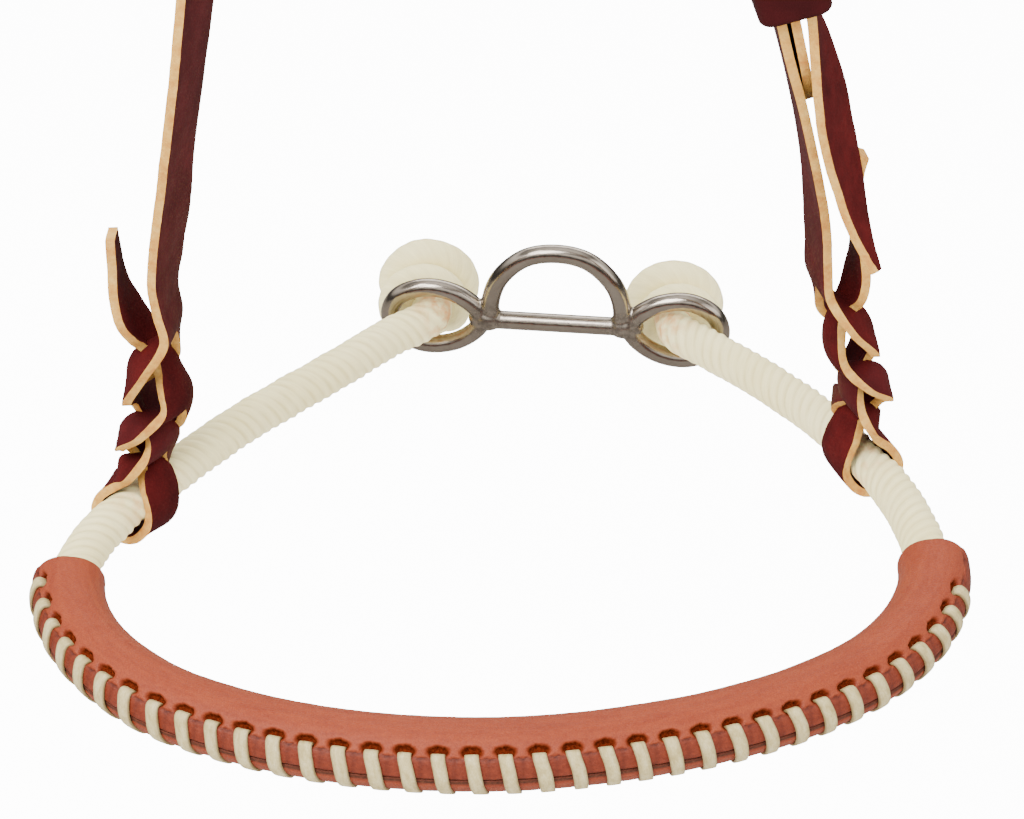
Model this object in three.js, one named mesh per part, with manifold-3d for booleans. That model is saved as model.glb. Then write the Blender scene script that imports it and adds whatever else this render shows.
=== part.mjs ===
// Rope noseband with a laced leather cover, a tie-down fitting and a one-buckle headstall.
// Millimetres, +Z up, X across the horse (off side -X, near side +X), -Y to the nose, +Y to the jaw.
// Origin: underside of the crown strap where it lies over the poll, where the headstall hangs.
// Pieces are laid out with the noseband in the plane z = 0, then moved to put the poll at the origin.
import * as THREE from 'three';
import * as BufferGeometryUtils from 'three/addons/utils/BufferGeometryUtils.js';
import Module from 'manifold-3d';

// ---------- shared dimensions (mm, angles in degrees) ----------
const ROPE_R = 5;
const FACET_TARGET = 5.8;                // wanted length of one rope facet
const STRAP_W = 16;
const STRAP_T = 2.6;
const POINT_LEN = 9;                     // length of a pointed strap end
const HINGE_Z = 46;                      // height where both straps bend over their knots
const WIRE_SIDES = 8;

const RING_PLACE = { x: 11.15, y: 79.3, turn: -6.2 };
const HEAD_PLACE = { x: -2.8, y: 18.4, turn: 4.54 };      // plane of the headstall

const wasm = await Module();
wasm.setup();

// ---------- helpers ----------
const vec = (x, y, z) => new THREE.Vector3(x, y, z);
const radians = THREE.MathUtils.degToRad;
const ALONG_Y = vec(0, 1, 0);

// corners of a flat strip's section: [side, face]
const CORNERS = [[1, 1], [-1, 1], [-1, -1], [1, -1]];
const STRIP_SECTION = CORNERS.map(([side, face]) => new THREE.Vector2(side, face));

function polar(radius, angle) {
  const turn = radians(angle);
  return new THREE.Vector2(radius * Math.cos(turn), radius * Math.sin(turn));
}

function circle(radius, sides) {
  return Array.from({ length: sides }, (_, i) => polar(radius, 360 * (i + 0.5) / sides));
}

function volume(geo) {
  const { position } = geo.attributes;
  const index = geo.index.array;
  const corner = k => vec(0, 0, 0).fromBufferAttribute(position, index[k]);
  let total = 0;
  for (let i = 0; i < index.length; i += 3) {
    total += corner(i).dot(corner(i + 1).cross(corner(i + 2))) / 6;
  }
  return total;
}

// Joins rings of points into one skin facing outwards.
// An open loft gets end caps, triangulated from the section outline.
function loft(rings, section, closed = false) {
  const sides = rings[0].length;
  const count = rings.length;
  const index = [];
  for (let i = 0; i < (closed ? count : count - 1); i++) {
    for (let j = 0; j < sides; j++) {
      const here = i * sides;
      const next = ((i + 1) % count) * sides;
      const k = (j + 1) % sides;
      index.push(here + j, here + k, next + k, here + j, next + k, next + j);
    }
  }
  if (!closed) {
    const last = (count - 1) * sides;
    for (const [i, j, k] of THREE.ShapeUtils.triangulateShape(section, [])) {
      index.push(k, j, i, last + i, last + j, last + k);
    }
  }
  const coords = rings.flat().flatMap(p => [p.x, p.y, p.z]);
  const geo = new THREE.BufferGeometry();
  geo.setAttribute('position', new THREE.Float32BufferAttribute(coords, 3));
  geo.setIndex(index);
  if (volume(geo) < 0) {
    for (let i = 0; i < index.length; i += 3) {
      [index[i], index[i + 1]] = [index[i + 1], index[i]];
    }
    geo.setIndex(index);
  }
  geo.computeVertexNormals();
  return geo;
}

function solid(source) {
  const bare = source.clone();
  bare.deleteAttribute('normal');
  bare.deleteAttribute('uv');
  const geo = BufferGeometryUtils.mergeVertices(bare, 1e-4);
  return new wasm.Manifold(new wasm.Mesh({
    numProp: 3,
    vertProperties: new Float32Array(geo.attributes.position.array),
    triVerts: new Uint32Array(geo.index.array),
  }));
}

function geometry(body) {
  const mesh = body.getMesh();
  const geo = new THREE.BufferGeometry();
  const coords = new Float32Array(mesh.vertProperties);
  geo.setAttribute('position', new THREE.BufferAttribute(coords, 3));
  geo.setIndex(new THREE.BufferAttribute(new Uint32Array(mesh.triVerts), 1));
  geo.computeVertexNormals();
  return geo;
}

// Direction through a path point and the stretch that keeps thickness round the bend.
// leastCos limits the stretch; at a path end one neighbour is undefined.
function mitre(previous, here, next, leastCos) {
  const arriving = previous && here.clone().sub(previous).normalize();
  const leaving = next && next.clone().sub(here).normalize();
  if (!arriving || !leaving) return { direction: arriving || leaving, stretch: 1 };
  const direction = arriving.clone().add(leaving).normalize();
  return { direction, stretch: 1 / Math.max(leastCos, direction.dot(arriving)) };
}

// flat strap through stations { point, across }; across is the unit width direction
function ribbon(stations, width) {
  const rings = stations.map(({ point, across }, i) => {
    const { direction, stretch } = mitre(stations[i - 1]?.point, point, stations[i + 1]?.point, 0.6);
    const normal = direction.clone().cross(across).normalize();
    return CORNERS.map(([side, face]) => point.clone()
      .addScaledVector(across, side * width / 2)
      .addScaledVector(normal, face * STRAP_T / 2 * stretch));
  });
  return loft(rings, STRIP_SECTION);
}

const smooth = (points, closed = false) => new THREE.CatmullRomCurve3(points, closed, 'centripetal');

function wire(points, radius, steps) {
  return new THREE.ExtrudeGeometry(new THREE.Shape(circle(radius, WIRE_SIDES)), {
    steps, bevelEnabled: false, extrudePath: smooth(points),
  });
}

// ---------- rope centre line ----------
// [x, y] from the off-side end, round the nose, to the near-side end
const ROPE_LINE = [
  [-18, 95], [-20.7, 82.5], [-31.5, 71.7], [-43.2, 58.3], [-54.7, 45.9], [-65.6, 33.6],
  [-75.5, 20], [-84.5, 6.5], [-92.3, -7.2], [-95.8, -21], [-94.1, -33.5], [-86.5, -48],
  [-72.6, -61.4], [-55.2, -70], [-38.6, -75], [-18.5, -78], [1.6, -78.2], [21.6, -75.4],
  [42.2, -70], [59.3, -62.7], [74, -53], [85.2, -40], [91.2, -25], [91.3, -9],
  [87.2, 9.5], [80.6, 24.5], [73.9, 37.2], [61.1, 54.4], [51.2, 65.2], [41.7, 75.8],
  [40.2, 88.5],
];
const ARC_SEARCH_STEP = 0.25;
const LEAST_FACET = 0.3;                 // facet joints nearer than this to an end are skipped

const ropeCurve = smooth(ROPE_LINE.map(([x, y]) => vec(x, y, 0)));
ropeCurve.arcLengthDivisions = 2000;
const ROPE_LEN = ropeCurve.getLength();
const FACETS = Math.round(ROPE_LEN / FACET_TARGET);
const FACET = ROPE_LEN / FACETS;
const JOINTS = Array.from({ length: FACETS + 1 }, (_, i) => {
  const tangent = ropeCurve.getTangentAt(i / FACETS);
  return {
    point: ropeCurve.getPointAt(i / FACETS),
    outward: vec(tangent.y, -tangent.x, 0).normalize(),
  };
});

// Place and outward direction at an arc length, on the faceted line,
// so every layer is parallel to the rope's facets.
function ropeAt(arc) {
  const position = Math.min(Math.max(arc / FACET, 0), FACETS - 1e-9);
  const i = Math.floor(position);
  const share = position - i;
  return {
    point: JOINTS[i].point.clone().lerp(JOINTS[i + 1].point, share),
    outward: JOINTS[i].outward.clone().lerp(JOINTS[i + 1].outward, share),
  };
}

// section point: x outwards from the loop, y up
function ropePoint(arc, { x, y }) {
  const { point, outward } = ropeAt(arc);
  return point.addScaledVector(outward, x).add(vec(0, 0, y));
}

// arc length nearest to a place in plan
function arcNear(x, y) {
  let nearest = 0;
  let least = Infinity;
  for (let arc = 0; arc <= ROPE_LEN; arc += ARC_SEARCH_STEP) {
    const { point } = ropeAt(arc);
    const distance = Math.hypot(point.x - x, point.y - y);
    if (distance < least) {
      least = distance;
      nearest = arc;
    }
  }
  return nearest;
}

function alongRope(start, end, section) {
  const arcs = [start];
  for (let i = Math.floor(start / FACET) + 1; i * FACET < end - LEAST_FACET; i++) {
    if (i * FACET > start + LEAST_FACET) arcs.push(i * FACET);
  }
  arcs.push(end);
  return loft(arcs.map(arc => section.map(point => ropePoint(arc, point))), section);
}

// ---------- rope with its two stopper knots ----------
const STOPPERS = [
  { radii: [13, 10.5, 12], centre: [-20.6, 96.8, 1] },
  { radii: [12.5, 10.5, 12.5], centre: [41, 90.4, -2] },
];

function nosebandRope() {
  let body = solid(alongRope(0, ROPE_LEN, circle(ROPE_R, 10)));
  for (const { radii, centre } of STOPPERS) {
    const knot = new THREE.SphereGeometry(1, 12, 8).scale(...radii).translate(...centre);
    body = body.add(solid(knot));
  }
  return geometry(body);
}

// ---------- leather sleeve and its lace ----------
// Angles run round the rope from the seam, which faces out of the loop; positive is up.
const COVER_START = arcNear(-95.6, -24);
const COVER_END = arcNear(91.9, -18);
const COVER_WALL = 1.8;
const COVER_BORE_R = 5.35;               // nominal, on the inner side of the loop
const COVER_BULGE = 1.65;                // extra bore at the seam, room for the lace
const COVER_ANGLES = [3, 20, 50, 88, 134, 180, 226, 268, 302, 328, 357];
const OUTER_SWELL_SHARE = 0.6;           // part of the bore swell passed to the outer face

const LACE_W = 2.8;
const LACE_T = 0.8;
const LACE_GAP = 0.25;                   // clearance of the lace in its slits
const LACE_STANDOFF = 0.32;              // further clearance over the sleeve
const LACE_PITCH = FACET;
const LACE_SLANT = 2.2;                  // advance along the rope in one outer pass
const HOLE_UP = 34;
const HOLE_DOWN = -48;
const FIRST_HOLE = Math.ceil((COVER_START + 2) / FACET) * FACET + 1.8;
const STITCHES = Math.floor((COVER_END - 3 - FIRST_HOLE) / LACE_PITCH);
// pass over the sleeve: [share of LACE_SLANT, angle]
const LACE_OVER = [[0, HOLE_UP], [0.25, 15], [0.5, -5], [0.75, -26], [1, HOLE_DOWN]];
// pass under the sleeve to the next stitch: [share of the remaining pitch, angle, radius]
const LACE_UNDER = [
  [0, HOLE_DOWN, 5.68], [0.22, -24, 5.86], [0.45, 0, 5.95], [0.75, 17, 5.88], [1, HOLE_UP, 5.72],
];

function boreRadius(angle) {
  return COVER_BORE_R + COVER_BULGE * Math.max(0, Math.cos(radians(angle)));
}

// widening of the many-sided bore, greatest on the inner side of the loop
function boreSwell(angle) {
  const fromInner = Math.abs(angle - 180);
  if (fromInner < 60) return 1.078;
  if (fromInner < 100) return 1.06;
  return fromInner < 140 ? 1.05 : 1.03;
}

function noseCover() {
  const outer = COVER_ANGLES.map(angle => {
    const swell = 1 + (boreSwell(angle) - 1) * OUTER_SWELL_SHARE;
    return polar(boreRadius(angle) * swell + COVER_WALL, angle);
  });
  const bore = COVER_ANGLES.map(angle => polar(boreRadius(angle) * boreSwell(angle), angle));
  const sleeve = solid(alongRope(COVER_START, COVER_END, [...outer, ...bore.reverse()]));
  const slits = solid(lace(LACE_W + 2 * LACE_GAP, LACE_T + 2 * LACE_GAP));
  return geometry(sleeve.subtract(slits));
}

function lacePath() {
  const over = hole => LACE_OVER.map(([share, angle]) => {
    const radius = boreRadius(angle) + COVER_WALL + LACE_GAP + LACE_T / 2 + LACE_STANDOFF;
    return { arc: hole + share * LACE_SLANT, point: polar(radius, angle) };
  });
  const under = hole => LACE_UNDER.map(([share, angle, radius]) => ({
    arc: hole + LACE_SLANT + share * (LACE_PITCH - LACE_SLANT),
    point: polar(radius, angle),
  }));
  const path = under(FIRST_HOLE - LACE_PITCH).slice(2);
  for (let i = 0; i < STITCHES; i++) {
    const hole = FIRST_HOLE + i * LACE_PITCH;
    path.push(...over(hole), ...under(hole));
  }
  path.pop();                            // the last end stops under the sleeve
  return path;
}

function lace(width, thickness) {
  const path = lacePath();
  const rings = path.map(({ arc, point }, i) => {
    const { direction, stretch } = mitre(path[i - 1]?.point, point, path[i + 1]?.point, 0.62);
    const normal = new THREE.Vector2(-direction.y, direction.x);
    return CORNERS.map(([side, face]) => ropePoint(
      arc + side * width / 2,
      point.clone().addScaledVector(normal, face * thickness / 2 * stretch),
    ));
  });
  return loft(rings, STRIP_SECTION);
}

// ---------- welded wire fitting: bar, D and two eyes (own frame, X along the bar) ----------
const FITTING_WIRE_R = 2.38;
const BAR_LEN = 36;
const EYE_X = 30.5;                      // fitting centre to eye centre
const EYE_RINGS = 18;
const DEE_H = 20.5;                      // bar centre to D top centre
const WELD = { radius: 3.1, x: 17, z: 0.4 };
// [x away from the fitting centre, z], measured from the eye centre
const EYE_LINE = [
  [10.6, 0], [8.7, 5.2], [3, 8.35], [-4, 7.5], [-9.8, 3.6],
  [-11.7, 0], [-9.8, -3.6], [-4, -7.5], [3, -8.35], [8.7, -5.2],
];
// one half of the D, from the bar upwards: [x, z]
const DEE_HALF = [[16, 0], [16.8, 4], [14.6, 12], [8, 18.7]];

// side is +1 or -1; outerStretch lengthens the part beyond the eye centre
function eye(side, outerStretch) {
  const curve = smooth(EYE_LINE.map(([x, z]) => (
    vec(side * (EYE_X + (x > 0 ? x * outerStretch : x)), 0, z))), true);
  const section = circle(FITTING_WIRE_R, WIRE_SIDES);
  const rings = Array.from({ length: EYE_RINGS }, (_, i) => {
    const centre = curve.getPointAt(i / EYE_RINGS);
    const normal = curve.getTangentAt(i / EYE_RINGS).cross(ALONG_Y);
    return section.map(({ x, y }) => (
      centre.clone().addScaledVector(ALONG_Y, x).addScaledVector(normal, y)));
  });
  return loft(rings, section, true);
}

function tieDownRing() {
  const bar = new THREE.CylinderGeometry(FITTING_WIRE_R, FITTING_WIRE_R, BAR_LEN, 10);
  bar.rotateZ(Math.PI / 2);
  const dee = wire([
    ...DEE_HALF.map(([x, z]) => vec(-x, 0, z)),
    vec(0, 0, DEE_H),
    ...DEE_HALF.map(([x, z]) => vec(x, 0, z)).reverse(),
  ], FITTING_WIRE_R, 16);
  let body = solid(bar).add(solid(dee)).add(solid(eye(1, 1.07))).add(solid(eye(-1, 1.14)));
  for (const side of [-1, 1]) {
    const weld = new THREE.SphereGeometry(WELD.radius, 8, 6).translate(side * WELD.x, 0, WELD.z);
    body = body.add(solid(weld));
  }
  return geometry(body);
}

// ---------- blood knots: lower ends of the two straps, round the rope ----------
const KNOT_R = 8.3;
const KNOT_HALF_LEN = 7.5;
const KNOT_BORE_R = ROPE_R + 0.5;
const BORE_OVERRUN = 8;
const PLY_W = STRAP_W - 1;
// plies: [x, y, z, width direction in degrees from +Y towards +X]
const OFF_KNOT = {
  arc: arcNear(-85.2, 5),
  plies: [[
    [-78.8, 12.5, 37.4, 4], [-80.3, 12.5, 34.6, 4], [-85.4, 12, 30.5, 8],
    [-87, 11.5, 26, 12], [-85.6, 10.5, 21, 16], [-83.2, 9.5, 17.2, 20],
    [-79.8, 8.5, 14, 24], [-80.2, 7.5, 9, 28], [-80.9, 7, 5.5, 30],
  ], [
    [-85.8, 12, 68, 0], [-84.6, 12, 52, 0], [-82.8, 12.5, 40, 4],
    [-80.3, 12.5, 34.6, 4], [-77, 12, 30.5, 8], [-76.2, 11.5, 26, 12],
    [-78.6, 10.5, 21, 16], [-83.2, 9.5, 17.2, 20], [-88.2, 8.5, 14, 24],
    [-89.2, 5, 9, 28], [-90.5, 4, 5.5, 30],
  ]],
};
const NEAR_KNOT = {
  arc: arcNear(82.4, 20),
  plies: [[
    [74.4, 24.3, 37.4, -4], [75.6, 24.3, 34.6, -4], [81.4, 24, 31, -8],
    [83.2, 23.5, 27.5, -12], [82, 23, 23.5, -16], [80, 22.5, 20.4, -18],
    [76, 22, 17, -20], [76.4, 21.5, 12, -22], [77.5, 21, 5.8, -24],
  ], [
    [71.9, 24.4, 70, 0], [73.6, 24.4, 57, 0], [77, 24.4, 41, -4],
    [75.6, 24.3, 34.6, -4], [71.6, 24, 31, -8], [70.6, 23.5, 27.5, -12],
    [75, 23, 23.5, -16], [80, 22.5, 20.4, -18], [85, 22, 17, -20],
    [86.2, 21.5, 12, -22], [87, 21, 5.8, -24],
  ]],
};

function bloodKnot({ arc, plies }) {
  const core = (halfLength, radius) => (
    solid(alongRope(arc - halfLength, arc + halfLength, circle(radius, 12))));
  let body = core(KNOT_HALF_LEN, KNOT_R);
  for (const ply of plies) {
    const stations = ply.map(([x, y, z, turn]) => ({
      point: vec(x, y, z),
      across: vec(Math.sin(radians(turn)), Math.cos(radians(turn)), 0),
    }));
    body = body.add(solid(ribbon(stations, PLY_W)));
  }
  return geometry(body.subtract(core(KNOT_HALF_LEN + BORE_OVERRUN, KNOT_BORE_R)));
}

// ---------- headstall frame: straps run in the XZ plane, their width along Y ----------
const FOOT_Z = HINGE_Z - STRAP_W / 2;
const CHEEK_SLOPE = 0.2555;              // inward lean of the cheek strap, per mm of height
const HEEL_BEND_R = 3.2;                 // middle of the cheek strap round the heel bar
const cheekAt = z => vec(57 - CHEEK_SLOPE * (z - 115), 0, z);
const crownSideAt = z => vec(-75.6 + 0.16627 * (z - 37.4), 0, z);

// Buckle frame at the heel bar centre: out is away from the horse, up is along the cheek strap.
const OUT = vec(1, 0, CHEEK_SLOPE).normalize();
const UP = vec(-CHEEK_SLOPE, 0, 1).normalize();
const HEEL = vec(42.4, 0, 172).addScaledVector(OUT, HEEL_BEND_R);
const BUCKLE_TURN = new THREE.Matrix4().makeBasis(OUT, ALONG_Y, UP);

function atHeel(out, up, y = 0) {
  return HEEL.clone().addScaledVector(OUT, out).addScaledVector(UP, up).setY(y);
}

// moves a geometry made with X out and Z up into the buckle frame
function placeAtHeel(geo, out, up) {
  const { x, z } = atHeel(out, up);
  return geo.applyMatrix4(BUCKLE_TURN).translate(x, 0, z);
}

function strap(points) {
  return solid(ribbon(points.map(point => ({ point, across: ALONG_Y })), STRAP_W));
}

// rounds the lower end of a strap about its bending line
function roundFoot(body, x) {
  const block = new THREE.BoxGeometry(24, 24, 12).translate(x, 0, HINGE_Z - 6);
  const round = new THREE.CylinderGeometry(STRAP_W / 2, STRAP_W / 2, 30, 20);
  round.rotateZ(Math.PI / 2).translate(x, 0, HINGE_Z);
  return body.subtract(solid(block).subtract(solid(round)));
}

// cuts both corners of a strap end; back is a strap point behind the tip
function pointEnd(body, tip, back) {
  const cutterT = 3.3;
  const lengthwise = tip.clone().sub(back).normalize();
  const normal = ALONG_Y.clone().cross(lengthwise);
  const turn = new THREE.Matrix4().makeBasis(ALONG_Y, lengthwise, normal);
  for (const side of [-1, 1]) {
    const outline = new THREE.Shape([
      new THREE.Vector2(0, 2),
      new THREE.Vector2(0, 0),
      new THREE.Vector2(side * (STRAP_W / 2 + 1), -POINT_LEN * (1 + 2 / STRAP_W)),
      new THREE.Vector2(side * (STRAP_W / 2 + 6), 2),
    ]);
    const cutter = new THREE.ExtrudeGeometry(outline, { depth: cutterT, bevelEnabled: false });
    cutter.translate(0, 0, -cutterT / 2).applyMatrix4(turn).translate(tip.x, 0, tip.z);
    body = body.subtract(solid(cutter));
  }
  return body;
}

function holeCutter({ out, up, radius, length }) {
  const cutter = new THREE.CylinderGeometry(radius, radius, length, 12).rotateZ(-Math.PI / 2);
  return solid(placeAtHeel(cutter, out, up));
}

function slotCutter({ out, up, depth, width, length }) {
  return solid(placeAtHeel(new THREE.BoxGeometry(depth, width, length), out, up));
}

// ---------- cheek strap: up from the near knot, round the heel bar and folded down outside ----------
const SCREW_UP = -30;                    // two-part screw, along the fold
const FOLD_STEPS = 8;

function cheekStrap() {
  const foldTip = atHeel(0, -82);
  const fold = Array.from({ length: FOLD_STEPS + 1 }, (_, i) => {
    const { x, y } = polar(HEEL_BEND_R, 180 - 180 * i / FOLD_STEPS);
    return atHeel(x, y);
  });
  let body = strap([
    cheekAt(FOOT_Z), cheekAt(80), cheekAt(125), ...fold,
    atHeel(3, -5), atHeel(1.6, -11), atHeel(0.4, -17), atHeel(0, -24), atHeel(0, -50), foldTip,
  ]);
  body = roundFoot(body, cheekAt(HINGE_Z).x);
  body = pointEnd(body, foldTip, atHeel(0, -60));
  const tongueSlot = { out: 0, up: 1, depth: 11, width: 4.8, length: 10 };
  const screwHole = { out: -1.6, up: SCREW_UP, radius: 2.35, length: 10 };
  return geometry(body.subtract(slotCutter(tongueSlot)).subtract(holeCutter(screwHole)));
}

// ---------- crown strap: up from the off knot, over the poll and down through the buckle ----------
const ARCH = { x: -8.5, z: 335, radiusX: 37, radiusZ: 44, steps: 11 };
const HOLES = { first: 58, pitch: 26, count: 3 };
// billet in the buckle frame, downwards: [out, up]
const BILLET = [
  [-1.5, 62], [-1.4, 34], [-0.9, 24], [-0.3, 18.6], [1.2, 13.5], [3.4, 8],
  [5.6, 3], [6.5, -2], [6.2, -9], [5.3, -22], [5.1, -32], [4, -42],
  [3.8, -48], [3.8, -84], [5.6, -95], [7.5, -110], [8.4, -124],
];

function archPoint(i) {
  const turn = Math.PI * (1 - i / ARCH.steps);
  return vec(ARCH.x + ARCH.radiusX * Math.cos(turn), 0, ARCH.z + ARCH.radiusZ * Math.sin(turn));
}

function crownStrap() {
  const arch = Array.from({ length: ARCH.steps + 1 }, (_, i) => archPoint(i));
  const billet = BILLET.map(([out, up]) => atHeel(out, up));
  let body = strap([
    crownSideAt(FOOT_Z), crownSideAt(80), crownSideAt(121),
    vec(-54.8, 0, 170), vec(-49.2, 0, 230), vec(-46, 0, 290),
    ...arch, vec(28.2, 0, 290), ...billet,
  ]);
  body = roundFoot(body, crownSideAt(HINGE_Z).x);
  body = pointEnd(body, billet.at(-1), billet.at(-2));
  const tongueSlot = { out: 3.6, up: 8.2, depth: 14, width: 4.4, length: 10 };
  body = body.subtract(slotCutter(tongueSlot));
  for (let i = 0; i < HOLES.count; i++) {
    const up = HOLES.first + i * HOLES.pitch;
    body = body.subtract(holeCutter({ out: -1.5, up, radius: 2.1, length: 16 }));
  }
  return geometry(body);
}

// ---------- buckle frame and tongue ----------
const BUCKLE_R = 1.6;                    // wire radius
const BUCKLE_HALF_W = 10.7;
const BUCKLE_LEN = 19;
const BUCKLE_RISE = 3.1;                 // outward lean over the buckle's length
// one side of the frame from heel to top: [up, y, out]
const BUCKLE_SIDE = [
  [0, 8, 0], [0.9, 10, 0.15], [3.4, BUCKLE_HALF_W, 0.55], [9.5, BUCKLE_HALF_W, 1.55],
  [15.6, BUCKLE_HALF_W, 2.55], [18.1, 10, 2.95], [BUCKLE_LEN, 8, BUCKLE_RISE],
];
const TONGUE_LINE = [[2.1, 1.9], [3, 5.2], [4, 10], [5.1, 14.5], [6.15, 18.6], [6.3, 22]]; // [out, up]
const TONGUE_R = 1.15;
const TONGUE_EYE = { radius: 3.5, width: 3.4, clearance: 0.35 };

function buckleFrame() {
  const loop = [
    atHeel(0, 0),
    ...BUCKLE_SIDE.map(([up, y, out]) => atHeel(out, up, y)),
    atHeel(BUCKLE_RISE, BUCKLE_LEN),
    ...BUCKLE_SIDE.map(([up, y, out]) => atHeel(out, up, -y)).reverse(),
  ];
  const count = loop.length;
  const section = circle(BUCKLE_R, WIRE_SIDES);
  const normal = OUT.clone().addScaledVector(UP, -BUCKLE_RISE / BUCKLE_LEN).normalize();
  const rings = loop.map((point, i) => {
    const previous = loop[(i + count - 1) % count];
    const { direction, stretch } = mitre(previous, point, loop[(i + 1) % count], 0.6);
    const sideways = direction.clone().cross(normal).normalize();
    return section.map(({ x, y }) => (
      point.clone().addScaledVector(normal, x).addScaledVector(sideways, y * stretch)));
  });
  return loft(rings, section, true);
}

function buckleTongue() {
  const { radius, width, clearance } = TONGUE_EYE;
  const boreR = BUCKLE_R + clearance;
  const shank = wire(TONGUE_LINE.map(([out, up]) => atHeel(out, up)), TONGUE_R, 10);
  const eyeOuter = new THREE.CylinderGeometry(radius, radius, width, 16);
  const eyeBore = new THREE.CylinderGeometry(boreR, boreR, 8, 16);
  for (const part of [eyeOuter, eyeBore]) part.translate(HEEL.x, 0, HEEL.z);
  return geometry(solid(shank).add(solid(eyeOuter)).subtract(solid(eyeBore)));
}

// ---------- keeper ----------
function roundedRect({ left, right, halfHeight, radius }) {
  const shape = new THREE.Shape();
  const top = halfHeight;
  const bottom = -halfHeight;
  shape.moveTo(left + radius, bottom);
  shape.lineTo(right - radius, bottom);
  shape.quadraticCurveTo(right, bottom, right, bottom + radius);
  shape.lineTo(right, top - radius);
  shape.quadraticCurveTo(right, top, right - radius, top);
  shape.lineTo(left + radius, top);
  shape.quadraticCurveTo(left, top, left, top - radius);
  shape.lineTo(left, bottom + radius);
  shape.quadraticCurveTo(left, bottom, left + radius, bottom);
  return shape;
}

function strapKeeper() {
  const outline = roundedRect({ left: -7.2, right: 7.9, halfHeight: 10.8, radius: 2.4 });
  const opening = roundedRect({ left: -5, right: 5.7, halfHeight: 8.6, radius: 0.6 });
  outline.holes.push(new THREE.Path(opening.getPoints(2)));
  const options = { depth: 15, bevelEnabled: false, curveSegments: 3 };
  return placeAtHeel(new THREE.ExtrudeGeometry(outline, options), 0, -58);
}

// ---------- two-part screw through the fold ----------
// profiles: [radius, distance out]
const SCREW_POST = [
  [0, -6.2], [4.2, -6.2], [4.6, -5.8], [4.6, -4.85], [2, -4.85],
  [2, 1.2], [1.25, 1.2], [1.25, -4.2], [0, -4.2],
];
const SCREW_CAP = [
  [0, -3.2], [0.95, -3.2], [0.95, 1.6], [4.6, 1.6], [4.6, 2.2], [4.1, 2.6], [0, 2.6],
];

function screwPart(profile) {
  const points = profile.map(([radius, out]) => new THREE.Vector2(radius, out));
  const turned = new THREE.LatheGeometry(points, 14).rotateZ(-Math.PI / 2);
  return geometry(solid(placeAtHeel(turned, 0, SCREW_UP)));
}

// ---------- materials ----------
const ROPE = { color: 0xe2dcca, roughness: 0.7, metalness: 0 };
const COVER_LEATHER = { color: 0xc47054, roughness: 0.5, metalness: 0 };
const LACE = { color: 0xc8bc9b, roughness: 0.6, metalness: 0 };
const LATIGO = { color: 0x4a1c1c, roughness: 0.45, metalness: 0 };
const KEEPER_LEATHER = { color: 0x3a1616, roughness: 0.5, metalness: 0 };
const NICKEL = { color: 0x9a958c, roughness: 0.3, metalness: 1 };

// ---------- assembly ----------
function add(parent, name, geo, look) {
  const mesh = new THREE.Mesh(geo, new THREE.MeshStandardMaterial(look));
  mesh.name = name;
  parent.add(mesh);
}

function placedGroup({ x, y, turn }) {
  const group = new THREE.Group();
  group.position.set(x, y, 0);
  group.rotation.z = radians(turn);
  return group;
}

const model = new THREE.Group();
const hung = new THREE.Group();
const head = placedGroup(HEAD_PLACE);
const ring = placedGroup(RING_PLACE);

const headTurn = radians(HEAD_PLACE.turn);
const pollZ = archPoint((ARCH.steps - 1) / 2).z - STRAP_T / 2;
hung.position.set(
  -(HEAD_PLACE.x + ARCH.x * Math.cos(headTurn)),
  -(HEAD_PLACE.y + ARCH.x * Math.sin(headTurn)),
  -pollZ,
);

add(hung, 'noseband_rope', nosebandRope(), ROPE);
add(hung, 'nose_cover', noseCover(), COVER_LEATHER);
add(hung, 'cover_lacing', lace(LACE_W, LACE_T), LACE);
add(hung, 'crown_strap_knot', bloodKnot(OFF_KNOT), LATIGO);
add(hung, 'cheek_strap_knot', bloodKnot(NEAR_KNOT), LATIGO);
add(ring, 'tie_down_ring', tieDownRing(), NICKEL);
add(head, 'crown_strap', crownStrap(), LATIGO);
add(head, 'cheek_strap', cheekStrap(), LATIGO);
add(head, 'buckle_frame', buckleFrame(), NICKEL);
add(head, 'buckle_tongue', buckleTongue(), NICKEL);
add(head, 'strap_keeper', strapKeeper(), KEEPER_LEATHER);
add(head, 'screw_post', screwPart(SCREW_POST), NICKEL);
add(head, 'screw_cap', screwPart(SCREW_CAP), NICKEL);
hung.add(head, ring);
model.add(hung);
export default model;
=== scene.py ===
# Bitless noseband headstall: a rope noseband with a laced nose cover and a nickel tie-down
# fitting, hung from a crown strap and a cheek strap that meet at a buckle.
# Lengths are millimetres about the centre of the noseband loop, which lies flat in x and y with
# its stopper knots at +y. The straps rise along +z, and the camera looks from -y.
import math
import bmesh
import bpy
import numpy as np
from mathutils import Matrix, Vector, noise


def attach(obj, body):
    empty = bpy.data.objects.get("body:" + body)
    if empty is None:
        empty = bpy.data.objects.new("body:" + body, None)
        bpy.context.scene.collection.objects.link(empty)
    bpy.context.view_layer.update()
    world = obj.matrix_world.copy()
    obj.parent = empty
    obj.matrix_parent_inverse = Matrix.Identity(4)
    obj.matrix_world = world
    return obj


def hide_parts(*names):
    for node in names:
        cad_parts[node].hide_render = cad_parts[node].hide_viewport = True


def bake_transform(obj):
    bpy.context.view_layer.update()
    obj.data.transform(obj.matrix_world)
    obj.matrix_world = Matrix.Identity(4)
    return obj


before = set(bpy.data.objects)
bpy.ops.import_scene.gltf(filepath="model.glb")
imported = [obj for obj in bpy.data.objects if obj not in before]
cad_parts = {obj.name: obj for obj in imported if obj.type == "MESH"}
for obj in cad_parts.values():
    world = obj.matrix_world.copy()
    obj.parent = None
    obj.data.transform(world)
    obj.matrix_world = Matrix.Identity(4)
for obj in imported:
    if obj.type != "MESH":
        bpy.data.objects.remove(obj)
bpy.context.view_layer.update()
ORIGIN = np.array([11.273329686, -17.727182023, -377.252143443])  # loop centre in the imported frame
MM = 0.001
RAD = math.pi / 180
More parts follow.
